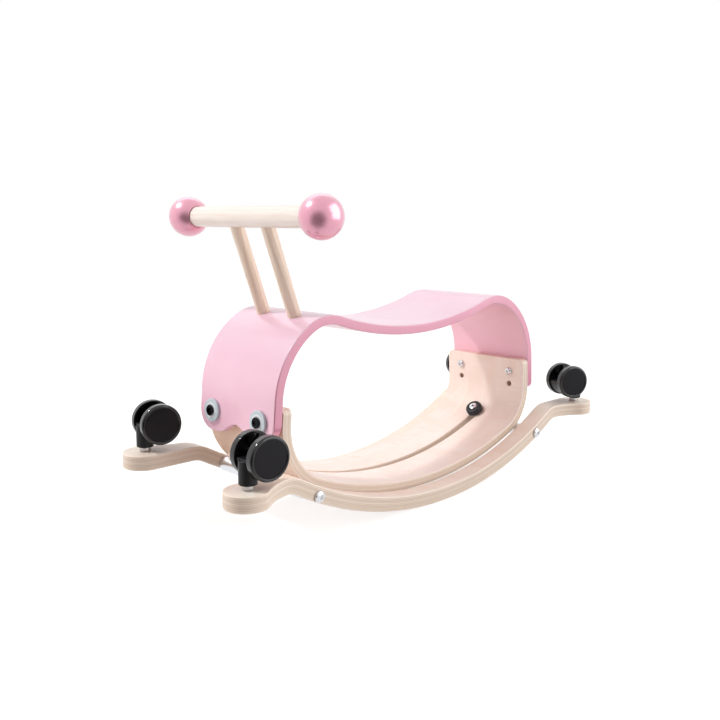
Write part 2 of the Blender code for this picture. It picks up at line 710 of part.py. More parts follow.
foot, down, post_reach = post_foot()
post_low = post_reach + POST_BITE - GAP
post_high = BAR_RADIUS - POST_BITE + GAP
post = pin("post", POST_RADIUS, post_high, post_low, 24)
bar_half = BALL_X + BAR_PAST_BALL_CENTRE
bar = add(
    "handlebar",
    pin("handlebar", BAR_RADIUS, -bar_half, bar_half, 28),
    DOWEL,
    aimed((0, BAR_Y, BAR_Z), (1, 0, 0)),
)
for side_name, side in (("left", 1), ("right", -1)):
    top = Vector((side * POST_X, BAR_Y, BAR_Z))
    add(f"post_{side_name}", post, DOWEL, aimed(top, down))
    hole = pin("bar_socket", POST_RADIUS + GAP, BAR_RADIUS - POST_BITE, BAR_RADIUS + OVERCUT, 24)
    cut(bar, cutter(f"bar_socket_{side_name}", hole, aimed(top, down)))
    hole = pin("saddle_socket", POST_RADIUS + GAP, post_reach - OVERCUT, post_reach + POST_BITE, 24)
    cut(saddle, cutter(f"saddle_socket_{side_name}", hole, aimed(top, down)))

    rings = 10
    profile = [
        (BALL_RADIUS * math.sin(math.pi * i / rings), -BALL_RADIUS * math.cos(math.pi * i / rings))
        for i in range(1, rings)
    ]
    ball = turned("ball", [(0, -BALL_RADIUS)] + profile + [(0, BALL_RADIUS)], 24)
    item = add(f"ball_{side_name}", ball, PINK, aimed((side * BALL_X, BAR_Y, BAR_Z), (side, 0, 0)))
    hole = pin("ball_socket", BAR_RADIUS + GAP, -2 * BALL_RADIUS, BAR_PAST_BALL_CENTRE + GAP, 24)
    cut(item, cutter(f"ball_socket_{side_name}", hole, aimed((side * BALL_X, BAR_Y, BAR_Z), (side, 0, 0))))


# Casters

HOUSING_HALF = CASTER_WIDTH / 2 - WHEEL_WIDTH - HOUSING_TO_WHEEL
AXLE_HALF = CASTER_WIDTH / 2 - AXLE_INSET


def housing_mesh():
    """Stem boss and half-disc body, with the stem at the origin and the trail along +Y."""
    low = COLLAR_HEIGHT + GAP
    high = AXLE_HEIGHT - HOUSING_SHOULDER_DROP
    boss = bpy.data.objects.new("housing_boss", pin("housing_boss", BOSS_RADIUS, low, high, 24))
    bpy.context.scene.collection.objects.link(boss)
    outline = arc((CASTER_TRAIL, AXLE_HEIGHT), HOUSING_RADIUS, 0, -math.pi, math.radians(11))
    across = aimed((0, CASTER_TRAIL, AXLE_HEIGHT), (1, 0, 0))
    body = cutter("housing_body", prism("housing_body", outline, "X", -HOUSING_HALF, HOUSING_HALF))
    hub = cutter("housing_hub", pin("housing_hub", HUB_RADIUS, -HOUSING_HALF, HOUSING_HALF, 20), across)
    bore_high = COLLAR_HEIGHT + STEM_RISE + GAP
    bore = cutter("housing_bore", pin("housing_bore", STEM_RADIUS + GAP, -OVERCUT, bore_high))
    slot = cutter("housing_axle", pin("housing_axle", AXLE_RADIUS + GAP, -OVERCUT, OVERCUT), across)
    cut(boss, body, "UNION")
    cut(boss, hub, "UNION")
    cut(boss, bore)
    cut(boss, slot)
    bpy.context.view_layer.update()
    graph = bpy.context.evaluated_depsgraph_get()
    made = bpy.data.meshes.new_from_object(boss.evaluated_get(graph), depsgraph=graph)
    for item in (boss, body, hub, bore, slot):
        bpy.data.objects.remove(item)
    return made


def wheel_mesh():
    """A wheel with its axle along Z, its hollow inner side at z = 0 and its cap outwards."""
    cap_z = WHEEL_WIDTH - WHEEL_CAP_DROP
    pocket_z = AXLE_HALF - (CASTER_WIDTH / 2 - WHEEL_WIDTH) + GAP
    bore = AXLE_RADIUS + GAP
    profile = [
        (0, pocket_z),
        (bore, pocket_z),
        (bore, 0),
        (HUB_RADIUS + HUB_WALL, 0),
        (HUB_RADIUS + HUB_WALL, WHEEL_HOLLOW),
        (WHEEL_RADIUS - WHEEL_RIM, WHEEL_HOLLOW),
        (WHEEL_RADIUS - WHEEL_RIM, 0),
        (WHEEL_RADIUS, 0),
        (WHEEL_RADIUS, WHEEL_WIDTH - WHEEL_SHOULDER),
        (WHEEL_RADIUS - WHEEL_SHOULDER / 3, WHEEL_WIDTH - WHEEL_SHOULDER / 4),
        (WHEEL_RADIUS - WHEEL_SHOULDER, WHEEL_WIDTH),
        (WHEEL_RADIUS - WHEEL_SHOULDER * 1.8, cap_z),
        (0, cap_z),
    ]
    return turned("caster_wheel", profile, 24)


collar_top = COLLAR_HEIGHT + STEM_RISE
stem = turned(
    "caster_stem",
    [
        (0, -STEM_DEPTH),
        (STEM_RADIUS, -STEM_DEPTH),
        (STEM_RADIUS, GAP),
        (COLLAR_RADIUS, GAP),
        (COLLAR_RADIUS, COLLAR_HEIGHT),
        (STEM_RADIUS, COLLAR_HEIGHT),
        (STEM_RADIUS, collar_top),
        (0, collar_top),
    ],
    16,
)
housing = housing_mesh()
axle = pin("caster_axle", AXLE_RADIUS, -AXLE_HALF, AXLE_HALF, 16)
wheel = wheel_mesh()
for corner, angle in SWIVEL_DEG.items():
    end, side_name = corner.split("_")
    side = 1 if side_name == "left" else -1
    sign = -1 if end == "front" else 1
    place = Matrix.Translation((side * PADDLE_X, sign * STEM_Y, PADDLE_TOP))
    add(f"caster_stem_{corner}", stem, ALUMINIUM, place)
    swivel = bpy.data.objects.new(f"swivel_{corner}", None)
    bpy.context.scene.collection.objects.link(swivel)
    swivel.matrix_basis = place @ Matrix.Rotation(math.radians(angle), 4, "Z")
    add(f"caster_housing_{corner}", housing, BLACK, parent=swivel)
    centre = Vector((0, CASTER_TRAIL, AXLE_HEIGHT))
    add(f"caster_axle_{corner}", axle, ALUMINIUM, aimed(centre, (1, 0, 0)), swivel)
    for part, way in (("a", 1), ("b", -1)):
        inner = centre + Vector((way * (CASTER_WIDTH / 2 - WHEEL_WIDTH), 0, 0))
        add(f"caster_wheel_{corner}_{part}", wheel, BLACK, aimed(inner, (way, 0, 0)), swivel)
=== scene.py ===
# %% [markdown]
# # Wooden balance rocker
# A low ride-on toy: a bent plywood cradle and a pink saddle stand on two rocker rails, with a
# handlebar in front and a twin-wheel caster on each rail end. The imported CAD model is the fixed
# frame here. Each step below gives a part its finish, or makes a finer piece in the same place.
# All lengths are metres, so a size in millimetres is written with `* MM`.

# %% Load the frame
import math

import bmesh
import bpy
from mathutils import Matrix, Vector


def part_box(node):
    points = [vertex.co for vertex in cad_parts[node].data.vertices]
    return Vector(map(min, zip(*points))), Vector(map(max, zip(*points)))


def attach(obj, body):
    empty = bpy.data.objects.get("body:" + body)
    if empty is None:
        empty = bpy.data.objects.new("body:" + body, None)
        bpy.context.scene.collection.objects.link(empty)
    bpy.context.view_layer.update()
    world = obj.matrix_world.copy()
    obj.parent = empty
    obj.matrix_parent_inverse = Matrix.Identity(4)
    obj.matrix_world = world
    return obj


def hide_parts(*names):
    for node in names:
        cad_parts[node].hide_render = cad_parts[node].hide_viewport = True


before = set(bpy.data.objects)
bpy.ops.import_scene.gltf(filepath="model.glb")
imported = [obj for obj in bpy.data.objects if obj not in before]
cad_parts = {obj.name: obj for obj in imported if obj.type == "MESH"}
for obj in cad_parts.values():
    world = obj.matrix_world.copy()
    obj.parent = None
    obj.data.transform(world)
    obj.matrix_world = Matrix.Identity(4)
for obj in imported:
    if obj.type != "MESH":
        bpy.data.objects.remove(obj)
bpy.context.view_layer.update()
MM = 0.001

# %% [markdown]
# ## The camera
# The photograph looks slightly down on the near front corner, from about the bar's height. A
# camera is three directions and a place: `back` points from the toy to the camera, `right` and `up` span the
# picture. A Track To constraint could aim it too, but a matrix also holds the slight roll. The
# focal length was measured in pixels of the square picture, so it is turned into millimetres on
# the sensor.

# %% Camera
AZIMUTH = math.radians(44.97)
ELEVATION = math.radians(9.43)
ROLL = math.radians(0.46)
CAMERA_PLACE = (716.2 * MM, -769.1 * MM, 338.9 * MM)
FOCAL_PIXELS = 826.38
PICTURE_PIXELS = 720
SENSOR_MM = 36


def new_object(name, data):
    """An object in the scene that holds the given data."""
    made = bpy.data.objects.new(name, data)
    bpy.context.scene.collection.objects.link(made)
    return made


flat_reach = math.cos(ELEVATION)
back = Vector((math.sin(AZIMUTH) * flat_reach, -math.cos(AZIMUTH) * flat_reach, math.sin(ELEVATION)))
level_right = (-back).cross(Vector((0, 0, 1))).normalized()
level_up = level_right.cross(-back)
right = level_right * math.cos(ROLL) + level_up * math.sin(ROLL)
up = level_up * math.cos(ROLL) - level_right * math.sin(ROLL)
camera_data = bpy.data.cameras.new("photo_camera")
camera_data.sensor_fit = "HORIZONTAL"
camera_data.sensor_width = SENSOR_MM
camera_data.lens = FOCAL_PIXELS * SENSOR_MM / PICTURE_PIXELS
camera = new_object("photo_camera", camera_data)
turned = Matrix((right, up, back)).transposed().to_4x4()
camera.matrix_world = Matrix.Translation(CAMERA_PLACE) @ turned
bpy.context.scene.camera = camera
print("lens", round(camera_data.lens, 2), "mm")

# %% [markdown]
# ## Small helpers for node trees
# Shader and geometry trees are both lists of nodes with links. They could be drawn by hand in the
# editor; in a script, `put` makes one node, sets its options, and fills each input with a value or
# with a link from another node's output, so a tree reads from top to bottom like a recipe.

# %% Nodes and sums
def fill(tree, socket, value):
    """Links a socket to another node's output, or sets it to a plain value."""
    if isinstance(value, bpy.types.NodeSocket):
        tree.links.new(value, socket)
    else:
        socket.default_value = value


def put(tree, kind, inputs=None, **options):
    node = tree.nodes.new(kind)
    for key, value in options.items():
        setattr(node, key, value)
    for key, value in (inputs or {}).items():
        fill(tree, node.inputs[key], value)
    return node


def calc(tree, operation, *values):
    return put(tree, "ShaderNodeMath", dict(enumerate(values)), operation=operation).outputs[0]


def times(tree, first, second):
    return calc(tree, "MULTIPLY", first, second)


def vector_calc(tree, operation, *values):
    node = put(tree, "ShaderNodeVectorMath", dict(enumerate(values)), operation=operation)
    return node.outputs["Value" if operation in ("LENGTH", "DOT_PRODUCT") else "Vector"]


def split(tree, vector):
    """A vector's X, Y and Z."""
    return put(tree, "ShaderNodeSeparateXYZ", {"Vector": vector}).outputs


def join(tree, x=0.0, y=0.0, z=0.0):
    return put(tree, "ShaderNodeCombineXYZ", {"X": x, "Y": y, "Z": z}).outputs[0]


# %% Masks, noise and colours
def ramp(tree, value, low, high, start=0.0, end=1.0):
    """A smooth step of a value between low and high, put out between start and end."""
    inputs = {"Value": value, "From Min": low, "From Max": high, "To Min": start, "To Max": end}
    return put(tree, "ShaderNodeMapRange", inputs, interpolation_type="SMOOTHSTEP").outputs["Result"]


def noise(tree, place, scale=1.0, detail=2.0, **more):
    inputs = {"Vector": place, "Scale": scale, "Detail": detail, **more}
    return put(tree, "ShaderNodeTexNoise", inputs).outputs["Fac"]


def mix(tree, factor, first, second, blend="MIX"):
    """Two colours mixed. The node has a socket for each kind of value, told apart by identifier."""
    node = put(tree, "ShaderNodeMix", data_type="RGBA", blend_type=blend)
    wanted = {"Factor_Float": factor, "A_Color": first, "B_Color": second}
    for socket in node.inputs:
        if socket.identifier in wanted:
            fill(tree, socket, wanted[socket.identifier])
    return next(socket for socket in node.outputs if socket.identifier == "Result_Color")


def rgb(red, green, blue):
    """A colour as a picture shows it, from 0 to 255, turned into the linear value a node wants."""
    def linear(value):
        value /= 255
        return value / 12.92 if value <= 0.04045 else ((value + 0.055) / 1.055) ** 2.4
    return (linear(red), linear(green), linear(blue), 1.0)


print("a picture's middle grey is", round(rgb(128, 128, 128)[0], 3), "in linear light")

# %% [markdown]
# A node group is a tree that other trees use like one node. It has named inputs and outputs, so an
# effect is built once and placed many times, each time with its own sizes.

# %% Node groups
def group(name, kind, sockets):
    """An empty node group with its named sockets: (direction, name, type, starting value)."""
    tree = bpy.data.node_groups.new(name, kind)
    for direction, label, form, start in sockets:
        made = tree.interface.new_socket(label, in_out=direction, socket_type="NodeSocket" + form)
        if start is not None:
            made.default_value = start
    given = tree.nodes.new("NodeGroupInput").outputs
    return tree, given, tree.nodes.new("NodeGroupOutput").inputs


def hand_out(tree, out, **results):
    """Links the results of a group to its outputs."""
    for label, result in results.items():
        tree.links.new(result, out[label.replace("_", " ")])
    print(tree.name, len(tree.nodes), "nodes")


def use(tree, shared, **inputs):
    """Places a shader group in a material."""
    node = put(tree, "ShaderNodeGroup", node_tree=shared)
    for key, value in inputs.items():
        fill(tree, node.inputs[key.replace("_", " ")], value)
    return node.outputs


# %% [markdown]
# ## Plywood as a solid texture
# Bent plywood is a stack of thin veneers, each with its grain turned a quarter against the next.
# A picture wrapped round the piece would break at every edge. Here each sheet piece carries an
# attribute named `ply`: the place that a point had in the flat blank, across, along and deep. A
# pattern on that place runs through the wood as in the real sheet, so the edges show the layers
# and the faces show one veneer, also round every bend.

# %% Plywood pattern: layers and glue lines
ply_tree, given, out = group("ply_layers", "ShaderNodeTree", [
    ("INPUT", "Place", "Vector", None),
    ("INPUT", "Layer", "Float", 1.5 * MM),
    ("INPUT", "Layers", "Float", 8.0),
    ("INPUT", "Face Turn", "Float", 0.0),
    ("OUTPUT", "Glue Line", "Float", None),
    ("OUTPUT", "Layer Tone", "Float", None),
    ("OUTPUT", "Bands", "Float", None),
    ("OUTPUT", "Fibre", "Float", None),
])
WOBBLE_SCALE, WOBBLE = 22.0, 0.2 * MM
LINE_FADE = (0.2, 0.04)  # where a glue line starts and is full, in layers from its middle
HALF_LAYER = 0.5

place = split(ply_tree, given["Place"])
waves = calc(ply_tree, "SUBTRACT", noise(ply_tree, given["Place"], WOBBLE_SCALE), 0.5)
depth = calc(ply_tree, "ADD", place["Z"], times(ply_tree, waves, WOBBLE))
layer = calc(ply_tree, "DIVIDE", depth, given["Layer"])
nearest = calc(ply_tree, "SUBTRACT", layer, calc(ply_tree, "ROUND", layer))
line = ramp(ply_tree, calc(ply_tree, "ABSOLUTE", nearest), *LINE_FADE)
last_line = calc(ply_tree, "SUBTRACT", given["Layers"], HALF_LAYER)
inner = times(ply_tree, calc(ply_tree, "GREATER_THAN", layer, HALF_LAYER),
              calc(ply_tree, "LESS_THAN", layer, last_line))
glue_line = times(ply_tree, line, inner)
index = calc(ply_tree, "FLOOR", layer)
tone = put(ply_tree, "ShaderNodeTexWhiteNoise", {"W": index}, noise_dimensions="1D").outputs["Value"]
print("layers and glue lines", len(ply_tree.nodes), "nodes")

# %% [markdown]
# Within a veneer the grain is a stretched noise: short across the fibres, long with them. Every
# second layer reads the place with X and Y swapped, which turns its grain a quarter, and the
# layer's own random tone shifts the noise, so that no two veneers show the same figure.

# %% Plywood pattern: bands and fibres
BAND_STRETCH = (3.0, 34.0, 34.0)
FIBRE_STRETCH = (45.0, 1500.0, 1500.0)
LAYER_SHIFT = 3.0
VECTOR_A, VECTOR_B, VECTOR_RESULT = 4, 5, 1  # the vector sockets of a Mix node, by their order

odd = calc(ply_tree, "FLOORED_MODULO", index, 2.0)
turned_layer = calc(ply_tree, "ABSOLUTE", calc(ply_tree, "SUBTRACT", odd, given["Face Turn"]))
straight = join(ply_tree, place["X"], place["Y"], place["Z"])
crossed = join(ply_tree, place["Y"], place["X"], place["Z"])
side = put(ply_tree, "ShaderNodeMix", {"Factor": turned_layer, VECTOR_A: straight, VECTOR_B: crossed},
           data_type="VECTOR").outputs[VECTOR_RESULT]
layer_shift = join(ply_tree, tone, times(ply_tree, tone, LAYER_SHIFT))
grain_place = vector_calc(ply_tree, "ADD", side, layer_shift)
bands = noise(ply_tree, vector_calc(ply_tree, "MULTIPLY", grain_place, BAND_STRETCH), detail=6.0,
              Roughness=0.6, Distortion=0.7)
fibre = noise(ply_tree, vector_calc(ply_tree, "MULTIPLY", grain_place, FIBRE_STRETCH))
hand_out(ply_tree, out, Glue_Line=glue_line, Layer_Tone=tone, Bands=ramp(ply_tree, bands, 0.3, 0.7),
         Fibre=ramp(ply_tree, fibre, 0.3, 0.75))

# %% [markdown]
# ## The film on every finish
# A sprayed or brushed finish is never quite even: the lacquer has a faint orange peel, and its
# sheen changes a little from place to place. Each material could hold its own two noises. Many
# finishes here share them, so they are one group that each material places with its own sizes.

# %% Surface film shared by the finishes
film_tree, given, out = group("film", "ShaderNodeTree", [
    ("INPUT", "Place", "Vector", None),
    ("INPUT", "Peel Scale", "Float", 700.0),
    ("INPUT", "Rough Low", "Float", 0.25),
    ("INPUT", "Rough High", "Float", 0.35),
    ("OUTPUT", "Height", "Float", None),
    ("OUTPUT", "Roughness", "Float", None),
    ("OUTPUT", "Cloud", "Float", None),
])
CLOUD_SCALE = 14.0
peel = noise(film_tree, given["Place"], given["Peel Scale"])
cloud = ramp(film_tree, noise(film_tree, given["Place"], CLOUD_SCALE, 3.0), 0.3, 0.7)
spread = calc(film_tree, "SUBTRACT", given["Rough High"], given["Rough Low"])
rough = calc(film_tree, "MULTIPLY_ADD", cloud, spread, given["Rough Low"])
hand_out(film_tree, out, Height=peel, Roughness=rough, Cloud=cloud)

# %% [markdown]
# Every material below starts and ends the same way. It starts with the constants on its shader and
# the place that its patterns read: an attribute that follows the piece, or Object coordinates. It
# ends with a colour, a roughness and a height, which a Bump node turns into a normal.

# %% Start and end of a material
def start_material(name, coordinates=None, **constants):
    """A material, its tree, its shader and the place that its patterns read."""
    made = bpy.data.materials.new(name)
    made.use_nodes = True
    tree = made.node_tree
    shader = tree.nodes["Principled BSDF"]
    for key, value in constants.items():
        shader.inputs[key.replace("_", " ")].default_value = value
    if coordinates:
        where = put(tree, "ShaderNodeAttribute", attribute_name=coordinates).outputs["Vector"]
    else:
        where = tree.nodes.new("ShaderNodeTexCoord").outputs["Object"]
    return made, tree, shader, where


def coat_with(tree, shader, colour, roughness, height, relief, strength=0.5):
    """Links a finish to its shader; `relief` is how high its bumps stand, in metres."""
    tree.links.new(colour, shader.inputs["Base Color"])
    tree.links.new(roughness, shader.inputs["Roughness"])
    bumps = put(tree, "ShaderNodeBump", {"Height": height, "Distance": relief, "Strength": strength})
    tree.links.new(bumps.outputs["Normal"], shader.inputs["Normal"])


# %% [markdown]
# ## Birch plywood
# The rails and the cradle are clear lacquered birch. The face veneers are pale cream with soft
# bands; on the edges thin glue lines run between the layers, and each layer shows some of its
# darker end grain. One function makes both woods, because they differ only in the number of
# layers, the tones and the outer grain, which runs along the bow on the rails, across it on the
# cradle. The lower, outer face is painted a little warmer, as painted warm shade, as in the photograph.

# %% Birch material
BIRCH_LINE = rgb(166, 136, 112)
BIRCH_END = rgb(222, 200, 180)
# Painted warm shade: the warmer tone that the lower, outer face is mixed toward.
BIRCH_PAINTED_WARM_SHADE = rgb(250, 214, 190)
BAND_SHARE, PAINTED_WARM_SHADE_SHARE, FIBRE_SHARE = 0.55, 0.9, 0.3
END_SPREAD, END_LEAST = 0.5, 0.3


def birch(name, layer, layers, face_turn, pale, warm, lines):
    made, tree, shader, where = start_material(name, "ply", Coat_Weight=0.35, Coat_Roughness=0.22)
    ply = use(tree, ply_tree, Place=where, Layer=layer, Layers=layers, Face_Turn=face_turn)
    film = use(tree, film_tree, Place=where, Peel_Scale=500.0, Rough_Low=0.36, Rough_High=0.48)
    depth = split(tree, where)["Z"]
    # The lower, outer face, which gets the painted warm shade.
    under = calc(tree, "GREATER_THAN", depth, layer * (layers - 0.1))
    banded = mix(tree, times(tree, ply["Bands"], BAND_SHARE), pale, warm)
    face = mix(tree, times(tree, under, PAINTED_WARM_SHADE_SHARE), banded, BIRCH_PAINTED_WARM_SHADE)
    inside = times(tree, calc(tree, "GREATER_THAN", depth, layer),
                   calc(tree, "LESS_THAN", depth, layer * (layers - 1)))
    end_grain = calc(tree, "MULTIPLY_ADD", ply["Layer Tone"], END_SPREAD, END_LEAST)
    wood = mix(tree, times(tree, inside, end_grain), face, BIRCH_END)
    streaked = mix(tree, times(tree, ply["Fibre"], FIBRE_SHARE), wood, warm, "MULTIPLY")
    colour = mix(tree, times(tree, ply["Glue Line"], lines), streaked, BIRCH_LINE)
    fibres = times(tree, ply["Fibre"], 0.5)
    height = calc(tree, "MULTIPLY_ADD", ply["Glue Line"], -0.7, fibres)
    coat_with(tree, shader, colour, film["Roughness"], height, 0.06 * MM, 0.7)
    return made


RAIL_LAYERS, RAIL_THICKNESS = 10, 17.2 * MM
CRADLE_LAYERS, CRADLE_THICKNESS = 8, 12 * MM
rail_birch = birch("birch_rail", RAIL_THICKNESS / RAIL_LAYERS, RAIL_LAYERS, 1.0,
                   rgb(250, 237, 225), rgb(241, 216, 194), 0.42)
cradle_birch = birch("birch_cradle", CRADLE_THICKNESS / CRADLE_LAYERS, CRADLE_LAYERS, 0.0,
                     rgb(249, 236, 227), rgb(242, 217, 197), 0.3)
print("birch layers", round(RAIL_THICKNESS / RAIL_LAYERS / MM, 2), "and",
      round(CRADLE_THICKNESS / CRADLE_LAYERS / MM, 2), "mm")

# %% [markdown]
# ## Pink lacquer
# The saddle is the same plywood under an opaque pink satin lacquer; its sawn edges are painted a
# deeper pink as painted shade. Painted vertices could hold that edge; reading the depth in the
# sheet is finer than the mesh. The pink is painted warmer toward the low front as painted bounce
# light from the floor, redder underneath as painted bounce light between the pink faces, and a
# thin painted dark line, a painted dark reflection and shade, follows the low edges.

# %% Saddle lacquer
PINK_FACE = rgb(233, 194, 210)
# Painted bounce light: a warmer pink toward the low front, for light from the floor.
PINK_PAINTED_FLOOR_BOUNCE = rgb(247, 198, 215)
# Painted bounce light: a redder pink on the underside, for light bounced between the pink faces.
PINK_PAINTED_INNER_BOUNCE = rgb(246, 194, 209)
# Painted shade: the deeper pink of the sawn edges, also the tint of the faces' faint random mottling.
PINK_PAINTED_EDGE_SHADE_AND_MOTTLE = rgb(226, 152, 175)
# Painted dark reflection and shade: a thin dark line along the low rims.
PINK_PAINTED_DARK_LINE = rgb(196, 112, 138)
SADDLE_LAYERS, SADDLE_THICKNESS = 7, 11 * MM
SADDLE_HALF_WIDTH = 66.5 * MM
EDGE_SHADE_START, EDGE_SHADE_FULL = 0.2 * MM, 1.2 * MM
# The band of the painted dark line, inset from the sheet's sides.
DARK_LINE_OUTER, DARK_LINE_INNER = (0.1 * MM, 0.6 * MM), (1.5 * MM, 1.0 * MM)
# Where along the sheet the painted floor bounce fades in, and where the painted dark line fades out.
FLOOR_BOUNCE_SPAN, DARK_LINE_SPAN = (130 * MM, 30 * MM), (120 * MM, 60 * MM)


def pink_saddle():
    made, tree, shader, where = start_material("pink_saddle", "ply", Coat_Weight=0.6, Coat_Roughness=0.16)
    film = use(tree, film_tree, Place=where, Peel_Scale=900.0, Rough_Low=0.3, Rough_High=0.4)
    place = split(tree, where)
    across, along, depth = calc(tree, "ABSOLUTE", place["X"]), place["Y"], place["Z"]
    # Painted shade: the sawn edges, between the top and the bottom face.
    edge = times(tree, ramp(tree, depth, EDGE_SHADE_START, EDGE_SHADE_FULL),
                 ramp(tree, depth, SADDLE_THICKNESS - EDGE_SHADE_START, SADDLE_THICKNESS - EDGE_SHADE_FULL))
    # Painted dark reflection and shade: a thin band along the rounded sides, strongest at the low front.
    rim = times(tree, ramp(tree, across, *(SADDLE_HALF_WIDTH - inset for inset in DARK_LINE_INNER)),
                ramp(tree, across, *(SADDLE_HALF_WIDTH - inset for inset in DARK_LINE_OUTER)))
    painted_dark_line = times(tree, rim, ramp(tree, along, *DARK_LINE_SPAN, 0.0, 0.8))
    # The underside, which gets the painted bounce light.
    under = calc(tree, "GREATER_THAN", depth, SADDLE_THICKNESS - EDGE_SHADE_START)
    # Painted bounce light from the floor, growing toward the low front.
    plain = mix(tree, ramp(tree, along, *FLOOR_BOUNCE_SPAN), PINK_FACE, PINK_PAINTED_FLOOR_BOUNCE)
    # A faint random mottling of the faces toward the deeper pink.
    soft = mix(tree, times(tree, film["Cloud"], 0.14), plain, PINK_PAINTED_EDGE_SHADE_AND_MOTTLE)
    faces = mix(tree, under, soft, PINK_PAINTED_INNER_BOUNCE)
    # Painted shade on the edges, then the painted dark line on the low rims.
    colour = mix(tree, painted_dark_line, mix(tree, edge, faces, PINK_PAINTED_EDGE_SHADE_AND_MOTTLE), PINK_PAINTED_DARK_LINE)
    ply = use(tree, ply_tree, Place=where, Layer=SADDLE_THICKNESS / SADDLE_LAYERS,
              Layers=SADDLE_LAYERS, Face_Turn=0.0)
    height = calc(tree, "MULTIPLY_ADD", ply["Glue Line"], -0.25, film["Height"])
    coat_with(tree, shader, colour, film["Roughness"], height, 0.04 * MM, 0.6)
    return made


saddle_pink = pink_saddle()
print(saddle_pink.name, len(saddle_pink.node_tree.nodes), "nodes")

# %% [markdown]
# The balls are turned wood in a pearly pink under a thick clear coat. Their deep middle and pale
# rim come from the mirrored studio, so the shader is partly metallic, with a sheen toward the rim.

# %% Ball lacquer
def pink_ball():
    made, tree, shader, where = start_material(
        "pink_ball", "stock", Metallic=0.6, Coat_Weight=1.0, Coat_Roughness=0.03,
        Sheen_Weight=0.5, Sheen_Roughness=0.25, Sheen_Tint=(1.0, 0.84, 0.92, 1.0),
    )
    film = use(tree, film_tree, Place=where, Peel_Scale=420.0, Rough_Low=0.24, Rough_High=0.3)
    colour = mix(tree, times(tree, film["Cloud"], 0.35), rgb(238, 168, 188), rgb(232, 158, 179))
    coat_with(tree, shader, colour, film["Roughness"], film["Height"], 0.03 * MM)
    return made


ball_pink = pink_ball()
print(ball_pink.name, len(ball_pink.node_tree.nodes), "nodes")

# %% [markdown]
# ## Solid round wood
# The bar and its posts are turned from solid wood, not layered. Growth rings are cylinders round
# the tree's heart, so a round stick cut beside the heart shows long pointed arches. A Wave texture
# in rings, moved off the stick's axis and tilted a little, gives the same figure. The `stock`
# attribute holds each point's place in the straight stick, with the grain along its Z.

# %% Round wood material
HEART_OFFSET, HEART_TILT = (31 * MM, 12 * MM, 0.0), (0.035, 0.02)
RING_STRETCH = (1.0, 1.0, 0.12)
ROUND_FIBRE_STRETCH = (1400.0, 1400.0, 40.0)
RING_WAVES = {"Distortion": 3.0, "Detail": 3.0, "Detail Scale": 2.0}


def round_wood(name, pale, warm, rings, turn):
    made, tree, shader, where = start_material(name, "stock", Coat_Weight=0.3, Coat_Roughness=0.25)
    film = use(tree, film_tree, Place=where, Peel_Scale=500.0, Rough_Low=0.36, Rough_High=0.5)
    heart = put(tree, "ShaderNodeMapping",
                {"Vector": where, "Location": HEART_OFFSET, "Rotation": (*HEART_TILT, turn)}).outputs[0]
    stretched = vector_calc(tree, "MULTIPLY", heart, RING_STRETCH)
    wave = put(tree, "ShaderNodeTexWave", {"Vector": stretched, "Scale": rings, **RING_WAVES},
               wave_type="RINGS", rings_direction="Z").outputs["Fac"]
    fibre = noise(tree, vector_calc(tree, "MULTIPLY", where, ROUND_FIBRE_STRETCH))
    fibre = ramp(tree, fibre, 0.35, 0.75)
    ringed = mix(tree, times(tree, ramp(tree, wave, 0.35, 0.95), 0.5), pale, warm)
    colour = mix(tree, times(tree, fibre, 0.25), ringed, warm, "MULTIPLY")
    coat_with(tree, shader, colour, film["Roughness"], fibre, 0.04 * MM, 0.6)
    return made


bar_wood = round_wood("bar_wood", rgb(244, 232, 224), rgb(235, 217, 204), 55.0, 0.4)
post_wood = round_wood("post_wood", rgb(236, 214, 196), rgb(218, 188, 163), 70.0, 1.3)
print(bar_wood.name, post_wood.name, len(bar_wood.node_tree.nodes), "nodes each")

# %% [markdown]
# ## Metal and plastic
# Plated screw heads are almost mirrors with a few fine scratches; the tubes are drawn aluminium
# with faint lines along their length; the casters are moulded nylon. What tells them apart is
# mostly roughness and the way the lines are stretched, so two functions make them all.

# %% Metals
LINE_ROUGHNESS, DULL = 0.8, 0.86


def metal(name, colour, low, high, stretch, coordinates="stock"):
    made, tree, shader, where = start_material(name, coordinates, Metallic=1.0)
    film = use(tree, film_tree, Place=where, Peel_Scale=300.0, Rough_Low=low, Rough_High=high)
    lines = noise(tree, vector_calc(tree, "MULTIPLY", where, stretch), detail=3.0)
    rough = calc(tree, "MULTIPLY_ADD", lines, (high - low) * LINE_ROUGHNESS, film["Roughness"])
    dull = tuple(value * DULL for value in colour[:3]) + (1.0,)
    worn = mix(tree, ramp(tree, lines, 0.35, 0.75), colour, dull)
    coat_with(tree, shader, worn, rough, lines, 0.01 * MM)
    return made


chrome = metal("chrome", rgb(226, 227, 230), 0.05, 0.12, (260.0, 260.0, 260.0))
drawn_aluminium = metal("drawn_aluminium", rgb(243, 244, 248), 0.2, 0.3, (1600.0, 1600.0, 12.0))
turned_steel = metal("turned_steel", rgb(205, 205, 208), 0.12, 0.22, (300.0, 300.0, 2400.0))
axle_steel = metal("axle_steel", rgb(190, 190, 194), 0.2, 0.3, (900.0, 900.0, 900.0), None)
black_oxide = metal("black_oxide", rgb(38, 38, 42), 0.16, 0.28, (700.0, 700.0, 700.0))
print("metals", chrome.name, drawn_aluminium.name, turned_steel.name, axle_steel.name, black_oxide.name)

# %% Plastics
LIGHTER, LIGHTER_LEAST = 1.5, 0.002


